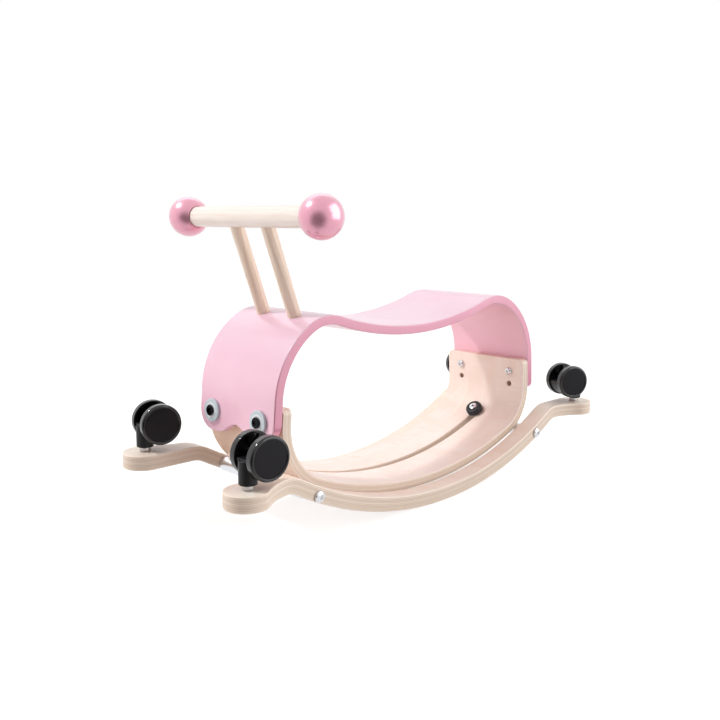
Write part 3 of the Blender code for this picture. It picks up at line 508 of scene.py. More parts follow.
def moulded(name, colour, low, high, grain, **constants):
    made, tree, shader, where = start_material(name, "stock", **constants)
    film = use(tree, film_tree, Place=where, Peel_Scale=grain, Rough_Low=low, Rough_High=high)
    lighter = tuple(min(1.0, value * LIGHTER + LIGHTER_LEAST) for value in colour[:3]) + (1.0,)
    mottled = mix(tree, film["Cloud"], colour, lighter)
    coat_with(tree, shader, mottled, film["Roughness"], film["Height"], 0.04 * MM)
    return made


housing_nylon = moulded("housing_nylon", rgb(17, 17, 20), 0.3, 0.42, 900.0, Specular_IOR_Level=0.3)
knob_plastic = moulded("knob_plastic", rgb(34, 34, 37), 0.34, 0.48, 1200.0, Specular_IOR_Level=0.35)


def distance_from_axis(tree, where):
    """How far a point lies from the Z axis of its piece."""
    place = split(tree, where)
    return vector_calc(tree, "LENGTH", join(tree, place["X"], place["Y"]))


def eye_finish():
    """Pale grey-blue, and white in the ring round the screw."""
    made, tree, shader, where = start_material("eye_plastic", "stock")
    film = use(tree, film_tree, Place=where, Peel_Scale=700.0, Rough_Low=0.28, Rough_High=0.4)
    ring = ramp(tree, distance_from_axis(tree, where), 8.9 * MM, 8.4 * MM)
    grey = mix(tree, film["Cloud"], rgb(203, 213, 219), rgb(197, 206, 212))
    colour = mix(tree, ring, grey, rgb(244, 245, 246))
    coat_with(tree, shader, colour, film["Roughness"], film["Height"], 0.03 * MM)
    return made


eye_plastic = eye_finish()
print("plastics", housing_nylon.name, knob_plastic.name, eye_plastic.name)

# %% [markdown]
# ## Bending a flat blank
# The real rails, cradle and saddle start as flat packs of veneer, pressed over a mould and then
# sawn to shape. The model copies that: each piece is cut as a flat slab with its holes, its rims
# are rounded over, and a Geometry Nodes tree lays it along a path. An extruded side view would
# give the bow too, but not holes and paddles cut across it. Cutting first is easy, because every
# outline is flat, and the bend keeps each layer's place for the plywood pattern.

# %% Arcs and routes
def arc(centre, radius, start, turn, step=math.radians(6)):
    """Points along a circle's arc, both ends included."""
    count = max(2, math.ceil(abs(turn) / step))
    angles = [start + turn * i / count for i in range(count + 1)]
    return [(centre[0] + radius * math.cos(a), centre[1] + radius * math.sin(a)) for a in angles]


def route(start, heading, moves, step=math.radians(1)):
    """Points and headings along lines and tangent arcs in the YZ plane; a positive turn goes left."""
    y, z = start
    points = [((y, z), heading)]
    for kind, size, turn in moves:
        if kind == "line":
            y += size * math.cos(heading)
            z += size * math.sin(heading)
            points.append(((y, z), heading))
            continue
        side = math.copysign(1, turn)
        centre = (y - side * size * math.sin(heading), z + side * size * math.cos(heading))
        count = max(1, math.ceil(abs(turn) / step))
        for i in range(1, count + 1):
            now = heading + turn * i / count
            y = centre[0] + side * size * math.sin(now)
            z = centre[1] - side * size * math.cos(now)
            points.append(((y, z), now))
        heading += turn
    return points


def lengths(points):
    """How far along the route each of its points lies."""
    found = [0.0]
    for (a, _), (b, _) in zip(points, points[1:]):
        found.append(found[-1] + math.dist(a, b))
    return found


def path_object(name, points):
    """The route as a poly curve on x = 0, for the bending tree to read."""
    data = bpy.data.curves.new(name, "CURVE")
    data.dimensions = "3D"
    spline = data.splines.new("POLY")
    spline.points.add(len(points) - 1)
    for spot, ((y, z), _) in zip(spline.points, points):
        spot.co = (0, y, z, 1)
    return new_object(name, data)


test_arc = route((0, 0), 0, [("arc", 1, math.pi)])
print("a half circle of radius 1 measures", round(lengths(test_arc)[-1], 3))

# %% [markdown]
# The slab itself is built ring by ring. Each outline is repeated along the quarter rounds of its
# rim, moved inwards and down, and the first and last rings are closed by flat lids. A Bevel would
# do the same job, but it can fold over at tight corners, and here each ring is known exactly.
# Cuts across the slab then give the bend enough points to follow.

# %% Insets and cuts
SHARPEST_CORNER = 0.5
ON_PLANE, SAME_STATION, LYING_FLAT = 1e-7, 1e-6, 0.9999


def inset_loop(loop, distance):
    """The loop moved to its left by a distance: inwards on a loop that runs anticlockwise."""
    moved = []
    for before, point, after in zip(loop[-1:] + loop[:-1], loop, loop[1:] + loop[:1]):
        a = (Vector(point) - Vector(before)).normalized()
        b = (Vector(after) - Vector(point)).normalized()
        left = Vector((-b.y, b.x))
        middle = (Vector((-a.y, a.x)) + left).normalized()
        moved.append(tuple(Vector(point) + middle * (distance / max(SHARPEST_CORNER, middle.dot(left)))))
    return moved


def cut_across(mesh, stations):
    """Cuts a slab at each station along it, and dissolves the slanted edges inside its lids."""
    for along in stations:
        everything = mesh.verts[:] + mesh.edges[:] + mesh.faces[:]
        bmesh.ops.bisect_plane(mesh, geom=everything, dist=ON_PLANE, plane_co=(0, along, 0), plane_no=(0, 1, 0))
    mesh.normal_update()
    slanted = [
        edge for edge in mesh.edges
        if len(edge.link_faces) == 2 and abs(edge.verts[0].co.y - edge.verts[1].co.y) > SAME_STATION
        and all(abs(face.normal.z) > LYING_FLAT for face in edge.link_faces)
    ]
    bmesh.ops.dissolve_edges(mesh, edges=slanted, use_verts=False)
    bmesh.ops.recalc_face_normals(mesh, faces=mesh.faces)


print("a square moved inwards by 0.5:", inset_loop([(0, 0), (2, 0), (2, 2), (0, 2)], 0.5))

# %% Flat blank
QUARTER_ROUND = [math.radians(a) for a in (90, 67.5, 45, 22.5, 0)]


def finished_mesh(name, mesh):
    """The built mesh as named data with smooth shading."""
    data = bpy.data.meshes.new(name)
    mesh.to_mesh(data)
    mesh.free()
    data.shade_smooth()
    return data


def flat_blank(name, outline, holes, thickness, stations, round_over):
    """A slab with rounded rims: its pairs are (across, along), and its top face is at z = 0."""
    section = [(round_over * (1 - math.cos(a)), -round_over * (1 - math.sin(a))) for a in QUARTER_ROUND]
    section += [(inset, -thickness - z) for inset, z in section[::-1]]
    mesh = bmesh.new()
    lids = ([], [])
    for loop, keeps_left in [(outline, True)] + [(hole, False) for hole in holes]:
        area = sum(a[0] * b[1] - b[0] * a[1] for a, b in zip(loop, loop[1:] + loop[:1]))
        if (area > 0) != keeps_left:
            loop = loop[::-1]
        rings = [
            [mesh.verts.new((x, along, z)) for x, along in inset_loop(loop, inset)] for inset, z in section
        ]
        for upper, lower in zip(rings, rings[1:]):
            for i in range(len(loop)):
                mesh.faces.new((upper[i], upper[i - 1], lower[i - 1], lower[i]))
        for lid, ring in zip(lids, (rings[0], rings[-1])):
            lid.extend(mesh.edges.get((ring[i], ring[i - 1])) for i in range(len(ring)))
    for lid in lids:
        bmesh.ops.triangle_fill(mesh, use_beauty=True, edges=lid, normal=(0, 0, 1))
    cut_across(mesh, stations)
    return finished_mesh(name, mesh)


print("a rim is rounded in", len(QUARTER_ROUND), "rings above and as many below")

# %% [markdown]
# The bending tree reads the slab's own points. How far a point lies along the slab becomes a
# length along the path, where Sample Curve gives the place and the direction; its height becomes
# a step outwards from there. Before the points move, their flat places are stored as `ply`. A
# Curve or Simple Deform modifier bends too, but neither keeps true lengths along such a path.

# %% Bending tree
bend_tree, given, out = group("bend_blank", "GeometryNodeTree", [
    ("INPUT", "Blank", "Geometry", None),
    ("INPUT", "Path", "Object", None),
    ("INPUT", "Lift", "Float", 0.0),
    ("INPUT", "Finish", "Material", None),
    ("OUTPUT", "Bent", "Geometry", None),
])


def store_place(tree, shape, name, value):
    """Keeps a place for each point of a shape, under an attribute's name."""
    inputs = {"Geometry": shape, "Name": name, "Value": value}
    options = {"data_type": "FLOAT_VECTOR", "domain": "POINT"}
    return put(tree, "GeometryNodeStoreNamedAttribute", inputs, **options).outputs[0]


def finish_tree(tree, shape, finish, out, label):
    """Every tree ends alike: instances made real, one material, and the way out."""
    real = put(tree, "GeometryNodeRealizeInstances", {"Geometry": shape}).outputs[0]
    finished = put(tree, "GeometryNodeSetMaterial", {"Geometry": real, "Material": finish}).outputs[0]
    hand_out(tree, out, **{label: finished})


flat = split(bend_tree, bend_tree.nodes.new("GeometryNodeInputPosition").outputs[0])
ply_place = join(bend_tree, flat["X"], flat["Y"], times(bend_tree, flat["Z"], -1.0))
kept = store_place(bend_tree, given["Blank"], "ply", ply_place)
path = put(bend_tree, "GeometryNodeObjectInfo", {"Object": given["Path"]}).outputs["Geometry"]
sample = put(bend_tree, "GeometryNodeSampleCurve", {"Curves": path, "Length": flat["Y"]}, mode="LENGTH").outputs
outward = vector_calc(bend_tree, "CROSS_PRODUCT", (1, 0, 0), sample["Tangent"])
reach = calc(bend_tree, "ADD", flat["Z"], given["Lift"])
lift = put(bend_tree, "ShaderNodeVectorMath", {0: outward, "Scale": reach}, operation="SCALE").outputs[0]
lifted = vector_calc(bend_tree, "ADD", sample["Position"], lift)
laid = vector_calc(bend_tree, "ADD", lifted, join(bend_tree, flat["X"]))
bent = put(bend_tree, "GeometryNodeSetPosition", {"Geometry": kept, "Position": laid}).outputs[0]
finish_tree(bend_tree, bent, given["Finish"], out, "Bent")

# %% [markdown]
# `grow` runs such a tree and keeps the result as a plain mesh, so nothing is left live on the
# piece. The Weighted Normal modifier lets the broad faces set the shading, which keeps the small
# rounded rims from smearing it. `put_in_place` then hands a piece to its body, hides the CAD nodes
# it stands for, and prints its size.

# %% Growing a piece
def plain_mesh(item):
    """The mesh that an object's modifiers make."""
    bpy.context.view_layer.update()
    graph = bpy.context.evaluated_depsgraph_get()
    return bpy.data.meshes.new_from_object(item.evaluated_get(graph), depsgraph=graph)


def grow(name, data, tree, **inputs):
    """Runs a geometry tree on a mesh and keeps the result as one plain mesh object."""
    item = new_object(name + "_start", data)
    modifier = item.modifiers.new(name, "NODES")
    modifier.node_group = tree
    named = [socket for socket in tree.interface.items_tree if socket.in_out == "INPUT"]
    sockets = {socket.name: socket.identifier for socket in named}
    for key, value in inputs.items():
        modifier[sockets[key]] = value
    smooth = item.modifiers.new("even_normals", "WEIGHTED_NORMAL")
    smooth.keep_sharp = True
    mesh = plain_mesh(item)
    mesh.name = name
    bpy.data.objects.remove(item)
    return new_object(name, mesh)


def say(piece):
    low = [round(min(v.co[i] for v in piece.data.vertices) / MM, 1) for i in range(3)]
    high = [round(max(v.co[i] for v in piece.data.vertices) / MM, 1) for i in range(3)]
    print(piece.name, len(piece.data.polygons), "faces", low, high)


def put_in_place(piece, body, slot, *nodes):
    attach(piece, body)
    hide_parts(*nodes)
    say(piece)


# %% Bending one blank
def bend_piece(name, blank, points, lift, finish):
    """Lays a flat blank along a route of points."""
    path = path_object(name + "_path", points)
    bent = grow(name, blank, bend_tree, Path=path, Lift=lift, Finish=finish)
    bpy.data.objects.remove(path)
    return bent


def even_stations(length, spacing):
    """Places along a length, evenly apart and about one spacing from the next."""
    spaces = round(length / spacing)
    return [length * i / spaces for i in range(1, spaces)]


print("20 mm in spaces of about 5 mm is cut at", even_stations(20, 5))

# %% [markdown]
# ## Rocker rails
# Each rail is one long bow with a flat round paddle at each end, where a caster stands. Its path is
# the middle of the bow, from tip to tip: a level end, a short bend down, the long rocker curve, and
# the same again. The end bends make the paddles level, and the whole path is then moved a hair, so
# that their tops lie where the CAD rail has them.

# %% Rail path
RAIL_HALF_LENGTH = 325 * MM
RAIL_WIDTH = 24.5 * MM
RAIL_INNER_X = 71.5 * MM
ROCKER_RADIUS = 487.6 * MM
ROCKER_SLOPE = math.radians(29.2)
TIP_BEND_RADIUS = 37 * MM
bow_radius = ROCKER_RADIUS - RAIL_THICKNESS / 2
flat_y = (bow_radius + TIP_BEND_RADIUS) * math.sin(ROCKER_SLOPE)
rise = (bow_radius + TIP_BEND_RADIUS) * (1 - math.cos(ROCKER_SLOPE))
tip = [("line", RAIL_HALF_LENGTH - flat_y, 0), ("arc", TIP_BEND_RADIUS, -ROCKER_SLOPE)]
rail_moves = tip + [("arc", bow_radius, 2 * ROCKER_SLOPE)] + tip[::-1]
rail_points = route((-RAIL_HALF_LENGTH, RAIL_THICKNESS / 2 + rise), 0, rail_moves)
PADDLE_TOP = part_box("rail_left")[1][2]
paddle_drop = rail_points[0][0][1] + RAIL_THICKNESS / 2 - PADDLE_TOP
rail_points = [((y, z - paddle_drop), heading) for (y, z), heading in rail_points]
rail_lengths = lengths(rail_points)
print("rail", round(rail_lengths[-1] / MM, 1), "mm along the bow, paddles", round(PADDLE_TOP / MM, 2),
      "mm high, moved", round(paddle_drop / MM, 3))

# %% [markdown]
# Seen from above, a rail's inner edge is straight and its outer edge swells into the paddles
# through a wide fillet. That plan is drawn as on the floor, from arcs that touch, and its places
# are then turned into lengths along the bow. Half the plan is enough; the other half mirrors it.

# %% Rail plan, blank and bend
PADDLE_RADIUS = 23.5 * MM
PADDLE_FILLET = 80 * MM
PADDLE_X = RAIL_INNER_X + PADDLE_RADIUS
PADDLE_Y = RAIL_HALF_LENGTH - PADDLE_RADIUS
RAIL_ROUND_OVER, RAIL_SPACING = 1.3 * MM, 5 * MM
SIDES = (("left", 1), ("right", -1))


def along_bow(y):
    """The length along the bow above a place on the floor."""
    for i, ((a, _), (b, _)) in enumerate(zip(rail_points, rail_points[1:])):
        if a[0] <= y <= b[0]:
            share = (y - a[0]) / (b[0] - a[0])
            return rail_lengths[i] + share * (rail_lengths[i + 1] - rail_lengths[i])
    return rail_lengths[-1] if y > 0 else 0.0


def rail_plan(side):
    outer_x = RAIL_INNER_X + RAIL_WIDTH
    swell = PADDLE_X - outer_x
    drop = math.sqrt((PADDLE_RADIUS + PADDLE_FILLET) ** 2 - (PADDLE_FILLET - swell) ** 2)
    sweep = math.atan2(drop, PADDLE_FILLET - swell)
    fillet_centre = (outer_x + PADDLE_FILLET, PADDLE_Y - drop)
    half_plan = arc(fillet_centre, PADDLE_FILLET, math.pi, -sweep, math.radians(3))
    half_plan += arc((PADDLE_X, PADDLE_Y), PADDLE_RADIUS, -sweep, math.pi + sweep, math.radians(4))[1:]
    return [(side * x, along_bow(y)) for x, y in half_plan + [(x, -y) for x, y in half_plan[::-1]]]


rail_stations = even_stations(rail_lengths[-1], RAIL_SPACING)
for side_name, side in SIDES:
    blank = flat_blank("rail_blank", rail_plan(side), [], RAIL_THICKNESS, rail_stations, RAIL_ROUND_OVER)
    rail = bend_piece("bent_rail_" + side_name, blank, rail_points, RAIL_THICKNESS / 2, rail_birch)
    put_in_place(rail, "frame", "birch_ply", "rail_" + side_name)

# %% [markdown]
# ## Cradle
# The cradle hangs between the rails: a shallow bow with two uprights, all one sheet of birch
# pressed to a U. The path is its inner face, from the front top down and up to the rear top. Each
# half is routed from the middle of the floor, so that both share the same sums, and the two cross
# tubes are found on the way: each touches the outside of a bend.

# %% Cradle path
SEAT_Y = -1 * MM
CRADLE_HALF_WIDTH = 67 * MM
CRADLE_FLOOR_Z = 26.7 * MM
CRADLE_RADIUS = 480 * MM
CRADLE_HALF_ARC = 176 * MM
CONTACT_ANGLE = math.radians(38.5)
TUBE_RADIUS = 8.5 * MM
GAP = 0.3 * MM
floor_slope = math.asin(CRADLE_HALF_ARC / CRADLE_RADIUS)
UPRIGHTS = {  # end: (sign of Y, bend radius, lean, top height)
    "front": (-1, 68.5 * MM, math.radians(4.4), 145.5 * MM),
    "rear": (1, 52.5 * MM, math.radians(4), 149.3 * MM),
}
half_paths, bend_centres, tube_centres = {}, {}, {}
for end, (sign, bend, lean, top_z) in UPRIGHTS.items():
    foot_z = CRADLE_FLOOR_Z + CRADLE_RADIUS * (1 - math.cos(floor_slope))
    centre_y = CRADLE_HALF_ARC - bend * math.sin(floor_slope)
    centre_z = foot_z + bend * math.cos(floor_slope)
    straight = (top_z - centre_z - bend * math.sin(lean)) / math.cos(lean)
    moves = [
        ("arc", CRADLE_RADIUS, floor_slope),
        ("arc", bend, math.pi / 2 + lean - floor_slope),
        ("line", straight, 0),
    ]
    half_paths[end] = route((0, CRADLE_FLOOR_Z), 0, moves)
    reach = bend + CRADLE_THICKNESS + GAP + TUBE_RADIUS
    tube_y, tube_z = centre_y + reach * math.sin(CONTACT_ANGLE), centre_z - reach * math.cos(CONTACT_ANGLE)
    bend_centres[end] = Vector((0, SEAT_Y + sign * centre_y, centre_z))
    tube_centres[end] = Vector((0, SEAT_Y + sign * tube_y, tube_z))
cradle_points = [((SEAT_Y - y, z), -heading) for (y, z), heading in half_paths["front"][:0:-1]]
cradle_points += [((SEAT_Y + y, z), heading) for (y, z), heading in half_paths["rear"]]
front_length = lengths(half_paths["front"])[-1]
cradle_length = lengths(cradle_points)[-1]
print("cradle sheet", round(cradle_length / MM, 1), "x", round(2 * CRADLE_HALF_WIDTH / MM, 1),
      "mm before bending")

# %% [markdown]
# The long slot lets the two clamps slide, and the spare holes set the saddle lower. They could be
# cut in the bent sheet with Booleans. They are cut in the flat blank instead, where a slot is only
# a long rounded rectangle, and their rims are rounded over like the outline's.

# %% Places on the cradle
EYE_X, EYE_Z = 41.5 * MM, 130.1 * MM
SEAT_SCREW_X, SEAT_SCREW_Z = 42.9 * MM, 131 * MM
SPARE_HOLE_DROP, SPARE_HOLE_RADIUS = 18.3 * MM, 3.7 * MM
SCREW_HOLE_RADIUS = 3.3 * MM
SLOT_HALF_WIDTH, SLOT_PAST_CLAMP = 5.1 * MM, 6 * MM


def on_upright(end, x, z, depth):
    """A point at a height, a depth outwards from the upright's inner face, and the outward normal."""
    sign = UPRIGHTS[end][0]
    (y, top_z), heading = half_paths[end][-1]
    normal = Vector((0, sign * math.sin(heading), -math.cos(heading)))
    up = Vector((0, sign * math.cos(heading), math.sin(heading)))
    point = Vector((x, SEAT_Y + sign * y, top_z)) + normal * depth
    return point + up * ((z - point.z) / up.z), normal


def below_top(end, z):
    """How far along the sheet a height lies from the top of an upright."""
    return (UPRIGHTS[end][3] - z) / math.cos(UPRIGHTS[end][2])


def slot_reach(end):
    """From the middle of the cradle's floor to the slot's end, along the face."""
    return CRADLE_RADIUS * floor_slope + UPRIGHTS[end][1] * (CONTACT_ANGLE - floor_slope) + SLOT_PAST_CLAMP


def rounded_sheet(half_width, length, corner):
    """A rectangle from along = 0 to its length, with four round corners."""
    x, far = half_width - corner, length - corner
    return (
        arc((x, far), corner, 0, math.pi / 2) + arc((-x, far), corner, math.pi / 2, math.pi / 2)
        + arc((-x, corner), corner, math.pi, math.pi / 2) + arc((x, corner), corner, -math.pi / 2, math.pi / 2)
    )


for end in UPRIGHTS:
    print("the slot reaches", round(slot_reach(end) / MM, 1), "mm to the", end)

# %% Cradle blank and bend
CRADLE_CORNER = 7 * MM
CRADLE_ROUND_OVER, SHEET_SPACING = 1 * MM, 4 * MM
HOLE_STEP, SLOT_STEP = math.radians(15), math.radians(12)
low_end, high_end = front_length - slot_reach("front"), front_length + slot_reach("rear")
slot_outline = arc((0, high_end - SLOT_HALF_WIDTH), SLOT_HALF_WIDTH, 0, math.pi, SLOT_STEP)
slot_outline += arc((0, low_end + SLOT_HALF_WIDTH), SLOT_HALF_WIDTH, math.pi, math.pi, SLOT_STEP)
eye_along = below_top("front", EYE_Z)
spare_along = cradle_length - below_top("rear", SEAT_SCREW_Z - SPARE_HOLE_DROP)
holes = [slot_outline]
for side in (-1, 1):
    holes.append(arc((side * EYE_X, eye_along), SCREW_HOLE_RADIUS, 0, 2 * math.pi, HOLE_STEP)[:-1])
    holes.append(arc((side * SEAT_SCREW_X, spare_along), SPARE_HOLE_RADIUS, 0, 2 * math.pi, HOLE_STEP)[:-1])
stations = even_stations(cradle_length, SHEET_SPACING) + [eye_along, spare_along]
outline = rounded_sheet(CRADLE_HALF_WIDTH, cradle_length, CRADLE_CORNER)
blank = flat_blank("cradle_blank", outline, holes, CRADLE_THICKNESS, stations, CRADLE_ROUND_OVER)
cradle = bend_piece("bent_cradle", blank, cradle_points, 0.0, cradle_birch)
put_in_place(cradle, "frame", "birch_ply", "cradle")

# %% [markdown]
# ## Saddle
# One pink sheet runs from the two round lobes at the front, up over a brow, down through the seat
# and over the hump to the tail. Its path is the outer face. The seat's own radius is found so that
# the path meets the rear upright; two trial bends and a straight line between them are enough,
# because the miss grows evenly with the radius.

# %% Saddle path
SADDLE_FRONT_Z, SADDLE_REAR_Z = 107.3 * MM, 107 * MM
SADDLE_FRONT_RISE = 47.7 * MM
BROW_RADIUS, BROW_TURN = 98.9 * MM, math.radians(57)
POMMEL_RADIUS, POMMEL_TURN = 54.5 * MM, math.radians(46)
DIP_TURN = math.radians(36)
HUMP_RADIUS, HUMP_TURN = 74.6 * MM, math.radians(45.4)
TAIL_RADIUS = 104.3 * MM
SMALL_TRIAL, LARGE_TRIAL = 0.3, 0.5  # seat radii in metres
front_lean, rear_lean = UPRIGHTS["front"][2], UPRIGHTS["rear"][2]
reach = CRADLE_THICKNESS + GAP + SADDLE_THICKNESS
saddle_start, _ = on_upright("front", 0, SADDLE_FRONT_Z, reach)
saddle_finish, _ = on_upright("rear", 0, SADDLE_REAR_Z, reach)
tail_turn = math.pi - front_lean - rear_lean - BROW_TURN - POMMEL_TURN + DIP_TURN - HUMP_TURN


def saddle_route(dip_radius, last=0.0):
    moves = [
        ("line", SADDLE_FRONT_RISE, 0),
        ("arc", BROW_RADIUS, -BROW_TURN),
        ("arc", POMMEL_RADIUS, -POMMEL_TURN),
        ("arc", dip_radius, DIP_TURN),
        ("arc", HUMP_RADIUS, -HUMP_TURN),
        ("arc", TAIL_RADIUS, -tail_turn),
        ("line", last, 0),
    ]
    return route((saddle_start.y, saddle_start.z), math.pi / 2 - front_lean, moves)


def miss(dip_radius):
    """How far the path's end lies outside the rear upright's plane."""
    (y, z), heading = saddle_route(dip_radius)[-1]
    return (y - saddle_finish.y) * -math.sin(heading) + (z - saddle_finish.z) * math.cos(heading)


growth = (miss(LARGE_TRIAL) - miss(SMALL_TRIAL)) / (LARGE_TRIAL - SMALL_TRIAL)
dip_radius = SMALL_TRIAL - miss(SMALL_TRIAL) / growth
(_, end_z), end_heading = saddle_route(dip_radius)[-1]
saddle_points = saddle_route(dip_radius, (end_z - SADDLE_REAR_Z) / -math.sin(end_heading))
saddle_length = lengths(saddle_points)[-1]
print("saddle sheet", round(saddle_length / MM, 1), "mm long, seat radius", round(dip_radius / MM, 1), "mm")

# %% [markdown]
# The front edge is cut as two round lobes with a soft arch between them, half a cosine wave each
# way. The other end only has its corners rounded. As with the cradle, the shape is drawn on the
# flat blank, so it needs no cut across a bent sheet.

# %% Saddle blank and bend
MOUTH_HALF_WIDTH, MOUTH_HEIGHT, MOUTH_STEPS = 31 * MM, 12.5 * MM, 20
LOBE_RADIUS = 24 * MM
TAIL_CORNER = 9 * MM
SADDLE_ROUND_OVER = 1.6 * MM


def saddle_outline():
    """Two round lobes with a soft arch between them at along = 0, and the tail's round corners."""
    lobe_x, tail_x = SADDLE_HALF_WIDTH - LOBE_RADIUS, SADDLE_HALF_WIDTH - TAIL_CORNER
    shares = [i / MOUTH_STEPS - 1 for i in range(2 * MOUTH_STEPS + 1)]
    arch = [(MOUTH_HALF_WIDTH * s, MOUTH_HEIGHT * (1 + math.cos(math.pi * s)) / 2) for s in shares]
    return (
        arc((-lobe_x, LOBE_RADIUS), LOBE_RADIUS, math.pi, math.pi / 2)
        + arch
        + arc((lobe_x, LOBE_RADIUS), LOBE_RADIUS, -math.pi / 2, math.pi / 2)
        + arc((tail_x, saddle_length - TAIL_CORNER), TAIL_CORNER, 0, math.pi / 2)
        + arc((-tail_x, saddle_length - TAIL_CORNER), TAIL_CORNER, math.pi / 2, math.pi / 2)
    )


stations = even_stations(saddle_length, SHEET_SPACING)
blank = flat_blank("saddle_blank", saddle_outline(), [], SADDLE_THICKNESS, stations, SADDLE_ROUND_OVER)
saddle = bend_piece("bent_saddle", blank, saddle_points, 0.0, saddle_pink)
put_in_place(saddle, "frame", "pink_lacquer", "saddle")

# %% [markdown]
# ## Setting the same piece in many spots
# Screws, washers, knobs and casters are each one shape used several times. Each shape is modelled
# once round its own Z axis. A Geometry Nodes tree then sets a copy on every point of a small mesh,
# where each point carries two attributes: the way the copy faces and its turn round that axis.
# The tree also stores `stock`, each copy's own coordinates, so patterns follow every copy. Copied
# objects would do for still pieces, but then each pattern would need its own place again.

# %% Spots tree
spots_tree, given, out = group("set_in_spots", "GeometryNodeTree", [
    ("INPUT", "Spots", "Geometry", None),
    ("INPUT", "Piece", "Object", None),
    ("INPUT", "Finish", "Material", None),
    ("OUTPUT", "Set", "Geometry", None),
])


def carried(tree, name, kind):
    """An attribute that the points of a mesh carry."""
    return put(tree, "GeometryNodeInputNamedAttribute", {"Name": name}, data_type=kind).outputs["Attribute"]


piece = put(spots_tree, "GeometryNodeObjectInfo", {"Object": given["Piece"]}).outputs["Geometry"]
own_place = spots_tree.nodes.new("GeometryNodeInputPosition").outputs[0]
stocked = store_place(spots_tree, piece, "stock", own_place)
aim, spin = carried(spots_tree, "aim", "FLOAT_VECTOR"), carried(spots_tree, "spin", "FLOAT")
aimed = put(spots_tree, "FunctionNodeAlignRotationToVector", {"Vector": aim}, axis="Z").outputs[0]
twist = put(spots_tree, "FunctionNodeAxisAngleToRotation", {"Axis": (0, 0, 1), "Angle": spin}).outputs[0]
turned_to = put(spots_tree, "FunctionNodeRotateRotation", {"Rotation": aimed, "Rotate By": twist},
                rotation_space="LOCAL").outputs[0]
copies = put(spots_tree, "GeometryNodeInstanceOnPoints",
             {"Points": given["Spots"], "Instance": stocked, "Rotation": turned_to}).outputs[0]
finish_tree(spots_tree, copies, given["Finish"], out, "Set")

# %% [markdown]
# Most of these shapes are turned, so they start as a profile, a list of (radius, height) pairs,
# spun once round Z. Its corners are eased first, because no real edge is perfectly sharp and the
# small rounds are what catches the light. A Screw modifier could spin a profile too.

# %% Turned shapes
MERGE_DISTANCE = 0.001 * MM
EASE_ROOM = 0.45  # how much of a profile's side one eased corner may take


def rod(radius, low, high):
    """The profile of a plain round rod."""
    return [(0, low), (radius, low), (radius, high), (0, high)]


def in_mm(*pairs):
    return [(radius * MM, height * MM) for radius, height in pairs]


def lathe(name, profile, segments=48, crease=35):
    """A mesh spun once round Z from (radius, height) pairs."""
    mesh = bmesh.new()
    ring = all(radius > 0 for radius, _ in profile)
    points = [mesh.verts.new((radius, 0, height)) for radius, height in profile]
    edges = [mesh.edges.new(pair) for pair in zip(points, points[1:] + points[:1] if ring else points[1:])]
    bmesh.ops.spin(mesh, geom=points + edges, axis=(0, 0, 1), cent=(0, 0, 0), angle=2 * math.pi,
                   steps=segments, use_merge=True)
    bmesh.ops.remove_doubles(mesh, verts=mesh.verts, dist=MERGE_DISTANCE)
    bmesh.ops.recalc_face_normals(mesh, faces=mesh.faces)
    data = finished_mesh(name, mesh)
    data.set_sharp_from_angle(angle=math.radians(crease))
    return data


def eased(corners, radius, steps=3):
    """The profile with its inner corners rounded."""
    points = [corners[0]]
    for before, corner, after in zip(corners, corners[1:], corners[2:]):
        a, p, b = (Vector(spot) for spot in (before, corner, after))
        room = min(radius, (a - p).length * EASE_ROOM, (b - p).length * EASE_ROOM)
        start, finish = p + (a - p).normalized() * room, p + (b - p).normalized() * room
        for i in range(steps + 1):
            u = i / steps
            points.append(tuple(start * (1 - u) ** 2 + p * 2 * u * (1 - u) + finish * u**2))
    return points + [corners[-1]]


print("an eased corner turns 3 points into", len(eased([(0, 0), (1, 0), (1, 1)], 0.1)))

# %% Copies in their spots
def set_copies(name, shape, spots, finish, body, slot, *nodes):
    """Sets one shape in its spots, (place, aim, spin) each, and puts it in for the CAD nodes."""
    places, ways, turns = zip(*spots)
    points = bpy.data.meshes.new(name + "_spots")
    points.from_pydata(places, [], [])
    aims = points.attributes.new("aim", "FLOAT_VECTOR", "POINT")
    aims.data.foreach_set("vector", [x for way in ways for x in way])
    points.attributes.new("spin", "FLOAT", "POINT").data.foreach_set("value", turns)
    master = new_object(name + "_master", shape)
    made = grow(name, points, spots_tree, Piece=master, Finish=finish)
    bpy.data.objects.remove(master)
    put_in_place(made, body, slot, *nodes)


# %% [markdown]
# ## Screws
# Every screw is a lathe shape with a domed head, and a hexagon prism is cut out of the head for
# the key with an exact Boolean. Only the heads show, but the shanks are there, so a screw looks
# right from the far side of a hole too.

# %% Making a screw
KEY_TO_CORNER = 1.732  # a hexagon's width across its flats, over the radius of its corners
KEY_ABOVE = 5 * MM
TIP_CHAMFER, TIP_HEIGHT, HEAD_CHAMFER = 0.4 * MM, 0.6 * MM, 0.3 * MM
AS_DRAWN = Matrix.Identity(4)


def carve(name, shape, steps, crease):
    """One mesh after exact Booleans; each step is (operation, tool mesh, where the tool stands)."""
    body = new_object(name, shape)
    tools = []
    for operation, tool_mesh, stand in steps:
        tool = new_object(tool_mesh.name, tool_mesh)
        tool.matrix_basis = stand
        step = body.modifiers.new(tool_mesh.name, "BOOLEAN")
        step.object, step.operation, step.solver = tool, operation, "EXACT"
        tools.append(tool)
    made = plain_mesh(body)
    for item in (body, *tools):
        bpy.data.objects.remove(item)
    made.shade_smooth()
    made.set_sharp_from_angle(angle=math.radians(crease))
    return made


